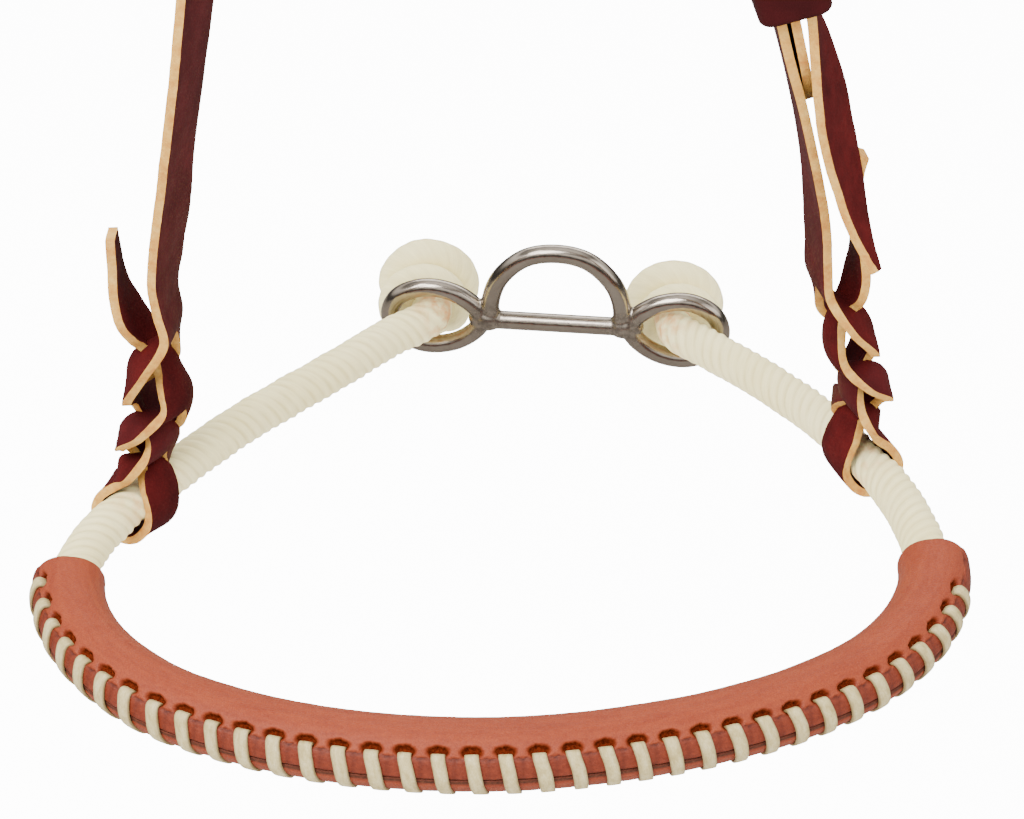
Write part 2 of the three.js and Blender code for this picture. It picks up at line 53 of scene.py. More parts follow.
UP = np.array([0.0, 0.0, 1.0])


# ------------------------------------------------------------------ curves and noise
def unit(v):
    v = np.asarray(v, float)
    return v / np.maximum(np.linalg.norm(v, axis=-1, keepdims=True), 1e-9)


def to_metres(points):
    return (np.asarray(points, float) + ORIGIN) * MM


def smoothstep(x):
    x = np.clip(x, 0, 1)
    return x * x * (3 - 2 * x)


def quarter_round(x):
    """Height of a quarter circle that climbs from 0 at x = 0 to 1 at x = 1."""
    return np.sqrt(np.clip(1 - (1 - np.clip(x, 0, 1)) ** 2, 0, 1))


def noise_line(values, rate, y, z):
    return np.array([noise.noise(Vector((v * rate, y, z))) for v in values])


def noise_grid(rows, cols, row_rate, col_rate, z):
    return np.array([[noise.noise(Vector((r * row_rate, c * col_rate, z))) for c in cols]
                     for r in rows])


def catmull(points, steps, closed=False):
    """Centripetal Catmull-Rom rows; columns past the first three are carried along."""
    p = np.asarray(points, float)
    count = len(p)
    out = []
    for i in range(count if closed else count - 1):
        p1, p2 = p[i], p[(i + 1) % count]
        p0 = p[(i - 1) % count] if (closed or i > 0) else 2 * p1 - p2
        p3 = p[(i + 2) % count] if (closed or i + 2 < count) else 2 * p2 - p1
        d0, d1, d2 = [max(np.linalg.norm((end - start)[:3]) ** 0.5, 1e-4)
                      for start, end in ((p0, p1), (p1, p2), (p2, p3))]
        slope1 = ((p1 - p0) / d0 - (p2 - p0) / (d0 + d1) + (p2 - p1) / d1) * d1
        slope2 = ((p2 - p1) / d1 - (p3 - p1) / (d1 + d2) + (p3 - p2) / d2) * d1
        for t in np.arange(steps) / steps:
            out.append((2 * t ** 3 - 3 * t ** 2 + 1) * p1 + (t ** 3 - 2 * t ** 2 + t) * slope1
                       + (-2 * t ** 3 + 3 * t ** 2) * p2 + (t ** 3 - t ** 2) * slope2)
    if not closed:
        out.append(p[-1])
    return np.array(out)


def resample(rows, step, closed=False):
    """Evenly spaced rows by the arc length of the first three columns, and their arcs."""
    if closed:
        rows = np.vstack([rows, rows[:1]])
    gaps = np.linalg.norm(np.diff(rows[:, :3], axis=0), axis=1)
    arc = np.concatenate([[0], np.cumsum(gaps)])
    count = max(2, int(round(arc[-1] / step)))
    even = np.linspace(0, arc[-1], count + 1)
    out = np.stack([np.interp(even, arc, column) for column in rows.T], 1)
    return (out[:-1], even[:-1]) if closed else (out, even)


def tangents(path, closed=False):
    if closed:
        return unit(np.roll(path, -1, 0) - np.roll(path, 1, 0))
    return unit(np.gradient(path, axis=0))


def transport(tangent, start):
    """Normals carried along a curve without twist."""
    normals = [unit(start - tangent[0] * np.dot(start, tangent[0]))]
    for t in tangent[1:]:
        normals.append(unit(normals[-1] - t * np.dot(normals[-1], t)))
    return np.array(normals)


def tube_rings(path, normal, binormal, radius):
    """Rings of points; radius has a row per path point and a column per point round."""
    around = radius.shape[1]
    angle = np.arange(around) / around * 2 * np.pi
    return (path[:, None, :] + normal[:, None, :] * (np.cos(angle) * radius)[..., None]
            + binormal[:, None, :] * (np.sin(angle) * radius)[..., None])


# ------------------------------------------------------------------ meshes
def grid_faces(rows, cols, closed=False):
    """Quads between rings of cols points; closed joins the last ring to the first."""
    faces = []
    for i in range(rows if closed else rows - 1):
        a, b = i * cols, (i + 1) % rows * cols
        for j in range(cols):
            k = (j + 1) % cols
            faces.append((a + j, a + k, b + k, b + j))
    return faces


def capped_faces(rows, cols):
    last = (rows - 1) * cols
    return grid_faces(rows, cols) + [list(range(cols))[::-1], list(range(last, last + cols))]


def link_object(name, mesh):
    obj = bpy.data.objects.new(name, mesh)
    bpy.context.scene.collection.objects.link(obj)
    return obj


def set_smooth(mesh):
    mesh.polygons.foreach_set("use_smooth", [True] * len(mesh.polygons))


def add_float(mesh, name, values):
    attribute = mesh.attributes.new(name, "FLOAT", "POINT")
    attribute.data.foreach_set("value", np.asarray(values, np.float32))


def make(name, verts, faces, materials, uv=None, floats=None, smooth=True, slots=None):
    mesh = bpy.data.meshes.new(name)
    mesh.from_pydata(to_metres(verts).tolist(), [], faces)
    mesh.update()
    for material in materials:
        mesh.materials.append(material)
    if slots is not None:
        mesh.polygons.foreach_set("material_index", np.asarray(slots, np.int32))
    for key, values in (floats or {}).items():
        add_float(mesh, key, values)
    if uv is not None:
        layer = mesh.uv_layers.new(name="UVMap")
        corner = np.empty(len(mesh.loops), np.int32)
        mesh.loops.foreach_get("vertex_index", corner)
        layer.data.foreach_set("uv", np.asarray(uv, np.float32)[corner].ravel())
    if smooth:
        set_smooth(mesh)
    return link_object(name, mesh)


def outward(obj):
    """Turn every face normal outwards."""
    bm = bmesh.new()
    bm.from_mesh(obj.data)
    bmesh.ops.recalc_face_normals(bm, faces=bm.faces)
    bm.to_mesh(obj.data)
    bm.free()
    return obj


def modify(obj, kind, **settings):
    modifier = obj.modifiers.new(kind.lower(), kind)
    for key, value in settings.items():
        setattr(modifier, key, value)


def apply_modifiers(obj):
    graph = bpy.context.evaluated_depsgraph_get()
    mesh = bpy.data.meshes.new_from_object(obj.evaluated_get(graph),
                                           preserve_all_data_layers=True, depsgraph=graph)
    old = obj.data
    obj.modifiers.clear()
    obj.data = mesh
    bpy.data.meshes.remove(old)


def cut(obj, cutters):
    for cutter in cutters:
        modify(obj, "BOOLEAN", operation="DIFFERENCE", object=cutter, solver="EXACT")
    apply_modifiers(obj)
    for cutter in cutters:
        bpy.data.objects.remove(cutter)


def register(obj, nodes, ride=None):
    """Hide the frame nodes the piece stands for and, if given, parent it to the body that carries it.
    """
    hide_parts(*nodes)
    if ride:
        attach(obj, ride)


# ------------------------------------------------------------------ shader helpers
def srgb(red, green, blue):
    """Linear colour from 0-255 sRGB values."""
    def linear(c):
        c = c / 255
        return c / 12.92 if c <= 0.04045 else ((c + 0.055) / 1.055) ** 2.4
    return (linear(red), linear(green), linear(blue), 1)


def fill_ramp(node, stops):
    elements = node.color_ramp.elements
    while len(elements) < len(stops):
        elements.new(0.5)
    for element, (position, color) in zip(elements, stops):
        element.position = position
        element.color = color


def mix_shaders(tree, factor, off, on):
    node = tree.nodes.new("ShaderNodeMixShader")
    for socket, source in zip(node.inputs, (factor, off, on)):
        tree.links.new(source, socket)
    return node.outputs[0]


BLACK, WHITE = (0, 0, 0, 1), (1, 1, 1, 1)


class Mat:
    """A Principled material and the nodes that feed it."""

    def __init__(self, name):
        self.material = bpy.data.materials.new(name)
        self.material.use_nodes = True
        self.tree = self.material.node_tree
        self.shader = self.tree.nodes["Principled BSDF"]
        self.coords = self.add("ShaderNodeTexCoord")

    def add(self, kind, **settings):
        node = self.tree.nodes.new(kind)
        for key, value in settings.items():
            setattr(node, key, value)
        return node

    def feed(self, socket, value):
        """Link a node output, or store a plain value."""
        if hasattr(value, "is_output"):
            self.tree.links.new(value, socket)
        else:
            socket.default_value = value

    def texture(self, kind, vector, **inputs):
        node = self.add(kind)
        for key, value in inputs.items():
            node.inputs[key].default_value = value
        self.feed(node.inputs["Vector"], vector or self.coords.outputs["Object"])
        return node.outputs

    def noise(self, scale, detail, rough=0.55, distortion=0.0, vector=None):
        return self.texture("ShaderNodeTexNoise", vector, Scale=scale, Detail=detail,
                            Roughness=rough, Distortion=distortion)["Fac"]

    def voronoi(self, scale, vector=None):
        return self.texture("ShaderNodeTexVoronoi", vector, Scale=scale)["Distance"]

    def uv_scaled(self, scale):
        return self.texture("ShaderNodeMapping", self.coords.outputs["UV"],
                            Scale=(*scale, 1))["Vector"]

    def uv_noise(self, scale, detail, rough, distortion=0.0):
        return self.noise(1.0, detail, rough, distortion, self.uv_scaled(scale))

    def attribute(self, name):
        return self.add("ShaderNodeAttribute", attribute_name=name).outputs["Fac"]

    def ramp(self, factor, *stops):
        node = self.add("ShaderNodeValToRGB")
        fill_ramp(node, stops)
        self.feed(node.inputs["Fac"], factor)
        return node.outputs["Color"]

    def rise(self, factor, start, end):
        return self.ramp(factor, (start, BLACK), (end, WHITE))

    def fall(self, factor, start, end):
        return self.ramp(factor, (start, WHITE), (end, BLACK))

    def mix(self, factor, a, b, blend="MIX"):
        node = self.add("ShaderNodeMix", data_type="RGBA", blend_type=blend)
        # inputs 6 and 7 and output 2 are the colour sockets
        for index, value in ((0, factor), (6, a), (7, b)):
            self.feed(node.inputs[index], value)
        return node.outputs[2]

    def math(self, operation, a, b, clamp=False):
        node = self.add("ShaderNodeMath", operation=operation, use_clamp=clamp)
        self.feed(node.inputs[0], a)
        self.feed(node.inputs[1], b)
        return node.outputs[0]

    def times(self, a, b, clamp=False):
        return self.math("MULTIPLY", a, b, clamp)

    def plus(self, a, b, clamp=False):
        return self.math("ADD", a, b, clamp)

    def weigh(self, a, a_weight, b, b_weight):
        return self.plus(self.times(a, a_weight), self.times(b, b_weight))

    def tint(self, color, mask, amount, paint):
        return self.mix(self.times(mask, amount), color, paint)

    def grade(self, color, gains):
        return self.mix(1.0, color, (*gains, 1), "MULTIPLY")

    def bump(self, height, strength, distance, under=None):
        """A bumped normal; distance is in metres."""
        node = self.add("ShaderNodeBump")
        self.feed(node.inputs["Height"], height)
        self.feed(node.inputs["Strength"], strength)
        self.feed(node.inputs["Distance"], distance)
        if under is not None:
            self.feed(node.inputs["Normal"], under)
        return node.outputs["Normal"]

    def surface(self, color, roughness, specular=None, normal=None, **others):
        values = {"Base Color": color, "Roughness": roughness,
                  "Specular IOR Level": specular, "Normal": normal, **others}
        for name, value in values.items():
            if value is not None:
                self.feed(self.shader.inputs[name], value)
        return self.material


# ------------------------------------------------------------------ materials
def rope_material():
    m = Mat("rope_waxed_nylon")
    fibre = m.uv_noise(scale=(26, 1.1), detail=3, rough=0.6)
    fine = m.uv_noise(scale=(70, 3.0), detail=2, rough=0.5)
    blotch = m.rise(m.noise(scale=60, detail=3), 0.3, 0.75)
    color = m.mix(blotch, srgb(236, 226, 182), srgb(243, 235, 200))
    color = m.tint(color, m.fall(fibre, 0.35, 0.7), amount=0.30, paint=srgb(190, 176, 128))
    # painted shade: the grooves between the strands are darkened
    color = m.tint(color, m.attribute("groove_shade"), amount=0.5, paint=srgb(186, 170, 118))
    specks = m.times(m.fall(m.voronoi(scale=420), 0.05, 0.12),
                     m.rise(m.noise(scale=120, detail=2), 0.55, 0.68))
    color = m.tint(color, specks, amount=0.5, paint=srgb(120, 108, 84))
    stain = m.times(m.attribute("stain"), m.rise(m.noise(scale=260, detail=3), 0.42, 0.62))
    color = m.mix(stain, color, srgb(206, 140, 84))
    others = {"Subsurface Weight": 0.08, "Subsurface Radius": (0.004, 0.003, 0.002),
              "Subsurface Scale": 0.5}
    normal = m.bump(m.weigh(fibre, 0.6, fine, 0.4), strength=0.55, distance=0.0003)
    return m.surface(m.grade(color, gains=(1.07, 1.04, 0.84)), roughness=0.62, specular=0.2,
                     normal=normal, **others)


def cover_material():
    """Brown leather; its UV map is millimetres round, then millimetres along."""
    m = Mat("cover_leather")
    streak = m.uv_noise(scale=(0.55, 0.09), detail=5, rough=0.6, distortion=0.6)
    mottle = m.uv_noise(scale=(1.3, 0.8), detail=6, rough=0.62, distortion=0.3)
    fine = m.uv_noise(scale=(5.5, 4.5), detail=4, rough=0.6)
    color = m.ramp(streak, (0.25, srgb(130, 52, 27)), (0.5, srgb(154, 72, 40)),
                   (0.78, srgb(170, 88, 52)))
    color = m.mix(0.35, color, m.ramp(mottle, (0.3, srgb(124, 48, 26)), (0.7, srgb(168, 86, 50))))
    color = m.tint(color, m.fall(fine, 0.35, 0.6), amount=0.62, paint=srgb(104, 36, 19))
    pale = m.uv_noise(scale=(7.5, 5.0), detail=3, rough=0.6)
    color = m.tint(color, m.rise(pale, 0.52, 0.66), amount=0.35, paint=srgb(196, 122, 84))
    # the band between holes and seam, the cut edge, the seam line, painted shade in the holes and
    # painted shade in the creases
    band = m.ramp(mottle, (0.3, srgb(96, 36, 20)), (0.7, srgb(126, 56, 34)))
    color = m.tint(color, m.attribute("band"), amount=0.75, paint=band)
    edge = m.ramp(m.uv_noise(scale=(3, 1.2), detail=5, rough=0.7),
                  (0.3, srgb(52, 26, 16)), (0.55, srgb(88, 50, 33)), (0.75, srgb(112, 74, 50)))
    color = m.mix(m.attribute("edge"), color, edge)
    color = m.mix(m.attribute("seam"), color, srgb(34, 12, 8))
    ragged = m.times(m.uv_noise(scale=(3.2, 3.2), detail=4, rough=0.7), 2.4)
    hole = m.times(m.attribute("hole"), m.plus(ragged, 0.35), clamp=True)
    # painted shade: the dimpled holes are darkened towards dark brown
    inside = m.ramp(m.uv_noise(scale=(1.6, 1.6), detail=3, rough=0.6),
                    (0.35, srgb(58, 20, 12)), (0.65, srgb(112, 50, 30)))
    color = m.tint(color, hole, amount=0.94, paint=inside)
    # painted shade: a dark line along the creases at the hole line and between stitches
    color = m.tint(color, m.attribute("crease"), amount=0.75, paint=srgb(70, 24, 14))
    # cut edges are rougher, holes lose their shine
    roughness = m.plus(m.plus(m.times(fine, 0.26), 0.40), m.times(m.attribute("edge"), 0.3),
                       clamp=True)
    specular = m.times(m.math("SUBTRACT", 1.0, hole, clamp=True), 0.26)
    pores = m.math("POWER", m.voronoi(scale=1.0, vector=m.uv_scaled((2.2, 2.2))), 0.6)
    wrinkle = m.uv_noise(scale=(2.4, 0.9), detail=5, rough=0.65, distortion=0.5)
    normal = m.bump(m.weigh(pores, 0.45, wrinkle, 0.55), strength=0.5, distance=0.00035,
                    under=m.bump(fine, strength=0.4, distance=0.00016))
    return m.surface(m.grade(color, gains=(0.77, 0.57, 0.42)), roughness, specular, normal)


def lace_material():
    m = Mat("rawhide_lace")
    broad = m.uv_noise(scale=(0.9, 0.35), detail=5, rough=0.65)
    fine = m.uv_noise(scale=(5, 2.0), detail=4, rough=0.6)
    color = m.ramp(broad, (0.3, srgb(160, 142, 92)), (0.5, srgb(190, 174, 124)),
                   (0.75, srgb(208, 196, 152)))
    color = m.tint(color, m.fall(fine, 0.35, 0.62), amount=0.4, paint=srgb(140, 116, 70))
    color = m.tint(color, m.attribute("rim"), amount=0.65, paint=srgb(96, 70, 38))
    normal = m.bump(m.weigh(broad, 0.5, fine, 0.5), strength=0.4, distance=0.0002)
    return m.surface(color, roughness=0.58, specular=0.25, normal=normal)


def latigo_noises(m):
    return (m.noise(scale=45, detail=5, rough=0.6, distortion=0.4),
            m.noise(scale=220, detail=5, rough=0.62))


def grain_material(name, shade):
    """Smooth side of the strap leather; shade scales its sRGB colours."""
    m = Mat(name)
    broad, middle = latigo_noises(m)

    def shaded(*color):
        return srgb(*[c * shade for c in color])

    color = m.ramp(broad, (0.22, shaded(58, 12, 14)), (0.5, shaded(76, 17, 19)),
                   (0.8, shaded(94, 25, 27)))
    color = m.tint(color, m.rise(middle, 0.42, 0.68), amount=0.35, paint=shaded(54, 11, 12))
    pores = m.math("POWER", m.voronoi(scale=1300), 0.6)
    normal = m.bump(m.weigh(pores, 0.4, middle, 0.6), strength=0.3, distance=0.00028)
    roughness = m.plus(m.times(middle, 0.25), 0.52)
    return m.surface(color, roughness, specular=0.06, normal=normal)


def flesh_material():
    """Rough side of the strap leather."""
    m = Mat("latigo_flesh")
    broad, middle = latigo_noises(m)
    fine = m.noise(scale=1500, detail=3, rough=0.6)
    color = m.ramp(broad, (0.25, srgb(54, 13, 13)), (0.5, srgb(70, 18, 18)),
                   (0.78, srgb(84, 24, 23)))
    color = m.tint(color, m.rise(middle, 0.4, 0.7), amount=0.4, paint=srgb(34, 10, 11))
    color = m.tint(color, m.rise(fine, 0.52, 0.7), amount=0.14, paint=srgb(84, 38, 34))
    normal = m.bump(m.weigh(fine, 0.55, middle, 0.45), strength=0.55, distance=0.0003)
    return m.surface(color, roughness=0.72, specular=0.02, normal=normal)


def cut_edge_material():
    m = Mat("latigo_cut_edge")
    broad = m.noise(scale=300, detail=5, rough=0.65)
    fine = m.noise(scale=1600, detail=4, rough=0.7)
    color = m.ramp(broad, (0.28, srgb(176, 112, 52)), (0.5, srgb(202, 152, 74)),
                   (0.75, srgb(216, 176, 100)))
    color = m.tint(color, m.rise(fine, 0.4, 0.7), amount=0.35, paint=srgb(166, 104, 52))
    normal = m.bump(fine, strength=0.8, distance=0.0003)
    return m.surface(color, roughness=0.78, specular=0.1, normal=normal)


def border_material():
    m = Mat("latigo_dye_border")
    color = m.ramp(m.noise(scale=700, detail=4, rough=0.7), (0.36, srgb(84, 22, 18)),
                   (0.52, srgb(140, 52, 38)), (0.68, srgb(178, 96, 62)))
    return m.surface(color, roughness=0.7, specular=0.1)


def nickel_material():
    m = Mat("nickel_plate")
    broad = m.noise(scale=90, detail=5, rough=0.6)
    fine = m.noise(scale=900, detail=4, rough=0.65)
    color = m.ramp(broad, (0.3, srgb(140, 130, 118)), (0.7, srgb(166, 156, 144)))
    scale_marks = m.rise(m.noise(scale=700, detail=4, rough=0.7), 0.4, 0.62)
    color = m.mix(m.times(m.attribute("weld"), scale_marks), color, srgb(96, 88, 80))
    roughness = m.plus(m.plus(m.times(fine, 0.14), 0.12), m.times(m.attribute("weld"), 0.16),
                       clamp=True)
    height = m.weigh(fine, 0.4, m.noise(scale=350, detail=3), 0.6)
    normal = m.bump(height, strength=0.12, distance=0.0002)
    return m.surface(color, roughness, normal=normal, Metallic=1.0)


ROPE = rope_material()
COVER = cover_material()
LACE = lace_material()
NICKEL = nickel_material()
GRAIN = grain_material("latigo_grain", shade=0.86)
FLESH = flesh_material()
CUT = cut_edge_material()
BORDER = border_material()
KEEPER = grain_material("keeper_grain", shade=0.72)

# ------------------------------------------------------------------ rope centre line
# x, y from the left knot round the -y side to the right knot; z is 0
LOOP_LINE = [
    (-18.0, 95), (-20.7, 82.5), (-31.5, 71.7), (-43.2, 58.3), (-54.7, 45.9), (-65.6, 33.6),
    (-75.5, 20), (-84.5, 6.5), (-92.3, -7.2), (-95.8, -21), (-94.1, -33.5), (-86.5, -48),
    (-72.6, -61.4), (-55.2, -70), (-38.6, -75), (-18.5, -78), (1.6, -78.2), (21.6, -75.4),
    (42.2, -70), (59.3, -62.7), (74, -53), (85.2, -40), (91.2, -25), (91.3, -9), (87.2, 9.5),
    (80.6, 24.5), (73.9, 37.2), (61.1, 54.4), (51.2, 65.2), (41.7, 75.8), (40.2, 88.5)]
line_points = [np.array([x, y, 0.0]) for x, y in LOOP_LINE]
line, line_arc = resample(catmull(line_points, 60), 0.25)
line_tangent = tangents(line)
# the normal points out of the loop
line_normal = np.stack([line_tangent[:, 1], -line_tangent[:, 0], np.zeros(len(line))], 1)


def line_at(arc):
    """Centre points and outward normals at arc lengths along the loop line."""
    def pick(rows):
        return np.stack([np.interp(arc, line_arc, column) for column in rows.T], -1)
    return pick(line), unit(pick(line_normal))


def arc_near(x, y):
    return line_arc[np.argmin(np.hypot(line[:, 0] - x, line[:, 1] - y))]


# ------------------------------------------------------------------ 1 rope and stopper knots
KNOT_LEFT = np.array([-22.4, 96.9, -3.0])
KNOT_RIGHT = np.array([42.6, 90.6, -5.6])
COIL_RADII = 8.3, 7.0               # first and last turns
COIL_HEIGHTS = 5.6, -4.3            # first and last turns, along the knot axis
COIL_START, COIL_TURNS = -118, 1.72
COIL_STEPS = 18
ROPE_AROUND, ROPE_LAY, ROPE_STRANDS = 80, 14.4, 5
ROPE_RADIUS = 5.05
STRAP_CROSSINGS = (-86.4, 4.5), (82.4, 19.5)
# x, y, reach, strength
STAINS = (-85, 5, 13, 0.55), (82, 20, 12, 0.55), (-21, 83, 9, 0.9), (41.8, 77, 9, 0.9)


def knot_path(centre, axis, side):
    """The rope runs up the middle, turns out at +y, winds round itself and tucks under."""
    axis = unit(axis)
    u = unit(np.cross(axis, UP)) * side
    v = unit(UP - axis * axis[2])
    (radius0, radius1), (high, low) = COIL_RADII, COIL_HEIGHTS
    points = [centre - axis * 3.5, centre + axis * 3.2 - v * 0.4,
              centre + axis * 6.6 - v * 3.4 - u * 1.2]
    for i in range(COIL_STEPS + 1):
        k = i / COIL_STEPS
        a = (COIL_START - 360 * COIL_TURNS * k) * RAD
        ease = smoothstep((k - 0.42) / 0.22)
        radius = (radius0 + (radius1 - radius0) * ease) * (0.82 + 0.18 * min(1, k * 9))
        height = high + (low - high) * ease + 0.9 * math.sin(a + 0.8)
        points.append(centre + axis * height + u * radius * 1.04 * math.cos(a)
                      + v * radius * math.sin(a))
    a = (COIL_START - 360 * COIL_TURNS - 46) * RAD
    tuck = radius1 * 0.7
    points.append(centre + axis * (low + 3.0) + u * tuck * math.cos(a) + v * tuck * math.sin(a))
    return points


def build_rope():
    left = knot_path(KNOT_LEFT, [0.10, 0.99, 0.03], side=1)
    right = knot_path(KNOT_RIGHT, [-0.08, 0.99, -0.03], side=-1)
    control = (left[::-1] + [np.array([-20.2, 88.6, 0.0])] + line_points[1:-1]
               + [np.array([40.9, 82.6, -0.3])] + right)
    path, arc = resample(catmull(control, 30), 0.5)
    tangent = tangents(path)
    normal = transport(tangent, UP)

    def knot_gap(lift):
        return np.minimum(*[np.linalg.norm(path - knot - [0, lift, 0], axis=1)
                            for knot in (KNOT_LEFT, KNOT_RIGHT)])

    def gap_to(x, y):
        return np.hypot(path[:, 0] - x, path[:, 1] - y)

    free = smoothstep((knot_gap(0) - 12.5) / 5.0)       # 0 in a knot, 1 on the open rope
    core = np.exp(-(knot_gap(1.5) / 5.2) ** 4)          # thinner inside a knot
    bite = np.exp(-(np.minimum(*[gap_to(*spot) for spot in STRAP_CROSSINGS]) / 7.0) ** 4)
    # laid strands
    angle = np.arange(ROPE_AROUND) / ROPE_AROUND * 2 * np.pi
    phase = angle[None, :] * ROPE_STRANDS - 2 * np.pi * ROPE_STRANDS * arc[:, None] / ROPE_LAY
    across = (phase / (2 * np.pi)) % 1.0 * 2 - 1        # -1..1 over one strand
    strand = np.floor(phase / (2 * np.pi))
    wobble = noise_line(arc, 0.11, 3.1, 0)[:, None]
    uneven = np.array([[noise.noise(Vector((s * 0.22, math.cos(a) * 0.9, math.sin(a) * 0.9 + 4.4)))
                        for a in angle] for s in arc])
    dip = 1 - np.sqrt(np.clip(1 - (np.abs(across) * 0.97) ** 2, 0, 1))
    dip = 0.45 * dip + 0.55 * (0.5 - 0.5 * np.cos(np.pi * np.abs(across)))
    depth = 0.47 * (0.22 + 0.78 * free)[:, None] * (1 + 0.35 * wobble + 0.45 * uneven)
    radius = (ROPE_RADIUS - 0.45 * (1 - free) - 1.2 * core - 0.5 * bite)[:, None]
    radius = radius - depth * dip + 0.10 * uneven
    radius += 0.05 * np.sin(phase * 0.25 + 1.7 * wobble)
    # rounded cut ends
    radius *= quarter_round(np.minimum(arc, arc[-1] - arc) / 1.6)[:, None] * 0.999 + 0.001
    rings = tube_rings(path, normal, np.cross(tangent, normal), radius)

    # painted shade mask: darkest deep in the grooves between strands, fainter inside a knot
    groove_shade = (np.clip((dip - 0.35) / 0.55, 0, 1) * (0.35 + 0.65 * free)[:, None]
              * np.clip(0.75 + 0.9 * uneven, 0.1, 1))
    stain = np.zeros(len(path))
    for x, y, reach, strength in STAINS:
        stain = np.maximum(stain, np.clip(1 - gap_to(x, y) / reach, 0, 1) * strength)
    uv = np.stack([(across * 0.5 + strand * 1.37) / 3,
                   np.broadcast_to(arc[:, None], across.shape) / 3.0], -1)
    rope = make("rope_noseband", rings.reshape(-1, 3), capped_faces(len(path), ROPE_AROUND),
                [ROPE], uv.reshape(-1, 2),
                {"groove_shade": groove_shade.ravel(), "stain": np.repeat(stain, ROPE_AROUND)})
    register(outward(rope), ["noseband_rope"], "noseband")


build_rope()

# ------------------------------------------------------------------ 2 nose cover
# Section angles are degrees round the rope: 0 out of the loop, 90 up.
COVER_START, COVER_END = arc_near(-95.6, -24), arc_near(91.9, -18)
COVER_THICK = 1.62
HOLE_PITCH = 6.35
SLANT = 1.9                          # lower hole sits this far on from its upper hole
UPPER_HOLES, LOWER_HOLES, SEAM = 37.0, -48.0, 4.0
STITCHES = int((COVER_END - COVER_START - 7.5) / HOLE_PITCH)
FIRST_HOLE = (COVER_START + COVER_END - STITCHES * HOLE_PITCH) / 2 - SLANT / 2


def cover_inner(angle):
    """Inner radius: close to the rope at the sides, fuller on the outside of the loop."""
    angle = np.asarray(angle, float)
    below = np.where(angle < -8, np.clip(1 - (-8 - angle) / 75, .45, 1), 1)
    return 5.35 + 1.65 * np.maximum(0, np.cos(angle * RAD)) * below


def nearest_hole(arc):
    """Number of the nearest hole, the distance from it, and whether it exists."""
    number = np.round((arc - FIRST_HOLE) / HOLE_PITCH)
    exists = (number >= 0) & (number <= STITCHES - 1)
    return number, arc - (FIRST_HOLE + number * HOLE_PITCH), exists


def cover_outer(arc, angle):
    """Outer radius on a grid, with masks for both hole rows, the band and the creases."""
    number, gap, exists = nearest_hole(arc)
    jitter = np.sin(number * 12.9898) * 0.5
    # ragged dimples just above the upper end of the lace
    climb = (angle - (UPPER_HOLES + 5.2)) * RAD * 8.6
    rag = 0.22 * np.sin(gap * 3.1 + number * 2.3) + 0.16 * np.sin(gap * 6.7 + number * 4.1)
    upper = smoothstep(1.25 - ((gap / 2.25) ** 2
                               + ((climb - 0.3 * jitter + rag * 0.5) / 1.42) ** 2)) * exists
    _, low_gap, low_exists = nearest_hole(arc - SLANT)
    low_climb = (angle - (LOWER_HOLES - 4)) * RAD * 8.4
    lower = np.clip(1.25 - ((low_gap / 2.0) ** 2 + (low_climb / 1.2) ** 2), 0, 1) * low_exists
    band = np.clip((angle - SEAM) / 2.0, 0, 1) * np.clip((UPPER_HOLES - 3.2 - angle) / 1.6, 0, 1)
    below = np.clip((SEAM - 7.5 - angle) / 2.0, 0, 1) * np.clip((angle + 44) / 4.0, 0, 1)
    # pulled-in crease along the hole line, and short ones between stitches
    middle = np.abs(gap) / (HOLE_PITCH / 2)
    crease_line = angle - (UPPER_HOLES - 3.6) - 0.6 * np.sin(arc * 5.1) - 0.5 * np.sin(arc * 11.7)
    crease = (np.exp(-(crease_line * RAD * 8.6 / 0.26) ** 2)
              * np.clip(middle * 1.6 - 0.25, 0, 1))
    cross_crease = np.exp(-((np.abs(gap) - HOLE_PITCH / 2) / 0.5) ** 2) * band * 0.5
    puff = band * (1 - middle ** 3 * 0.2)
    radius = (cover_inner(angle) + COVER_THICK - 1.5 * upper - 1.1 * lower - 0.30 * crease
              - 0.06 * cross_crease + 0.24 * puff * 0.7 + 0.1 * below)
    # the lace presses the leather down a little
    slant = SLANT * np.clip((UPPER_HOLES - angle) / (UPPER_HOLES - LOWER_HOLES), 0, 1)
    radius -= (0.16 * np.exp(-((gap - slant) / 1.6) ** 2) * np.clip((angle + 50) / 8, 0, 1)
               * np.clip((UPPER_HOLES + 3 - angle) / 8, 0, 1) * exists)
    radius += 0.16 * noise_grid(arc[:, 0], angle[0], 0.05, 0.02, 1.7)
    radius += 0.05 * noise_grid(arc[:, 0], angle[0], 0.35, 0.09, 5.2)
    return radius, upper, lower, band, crease + cross_crease


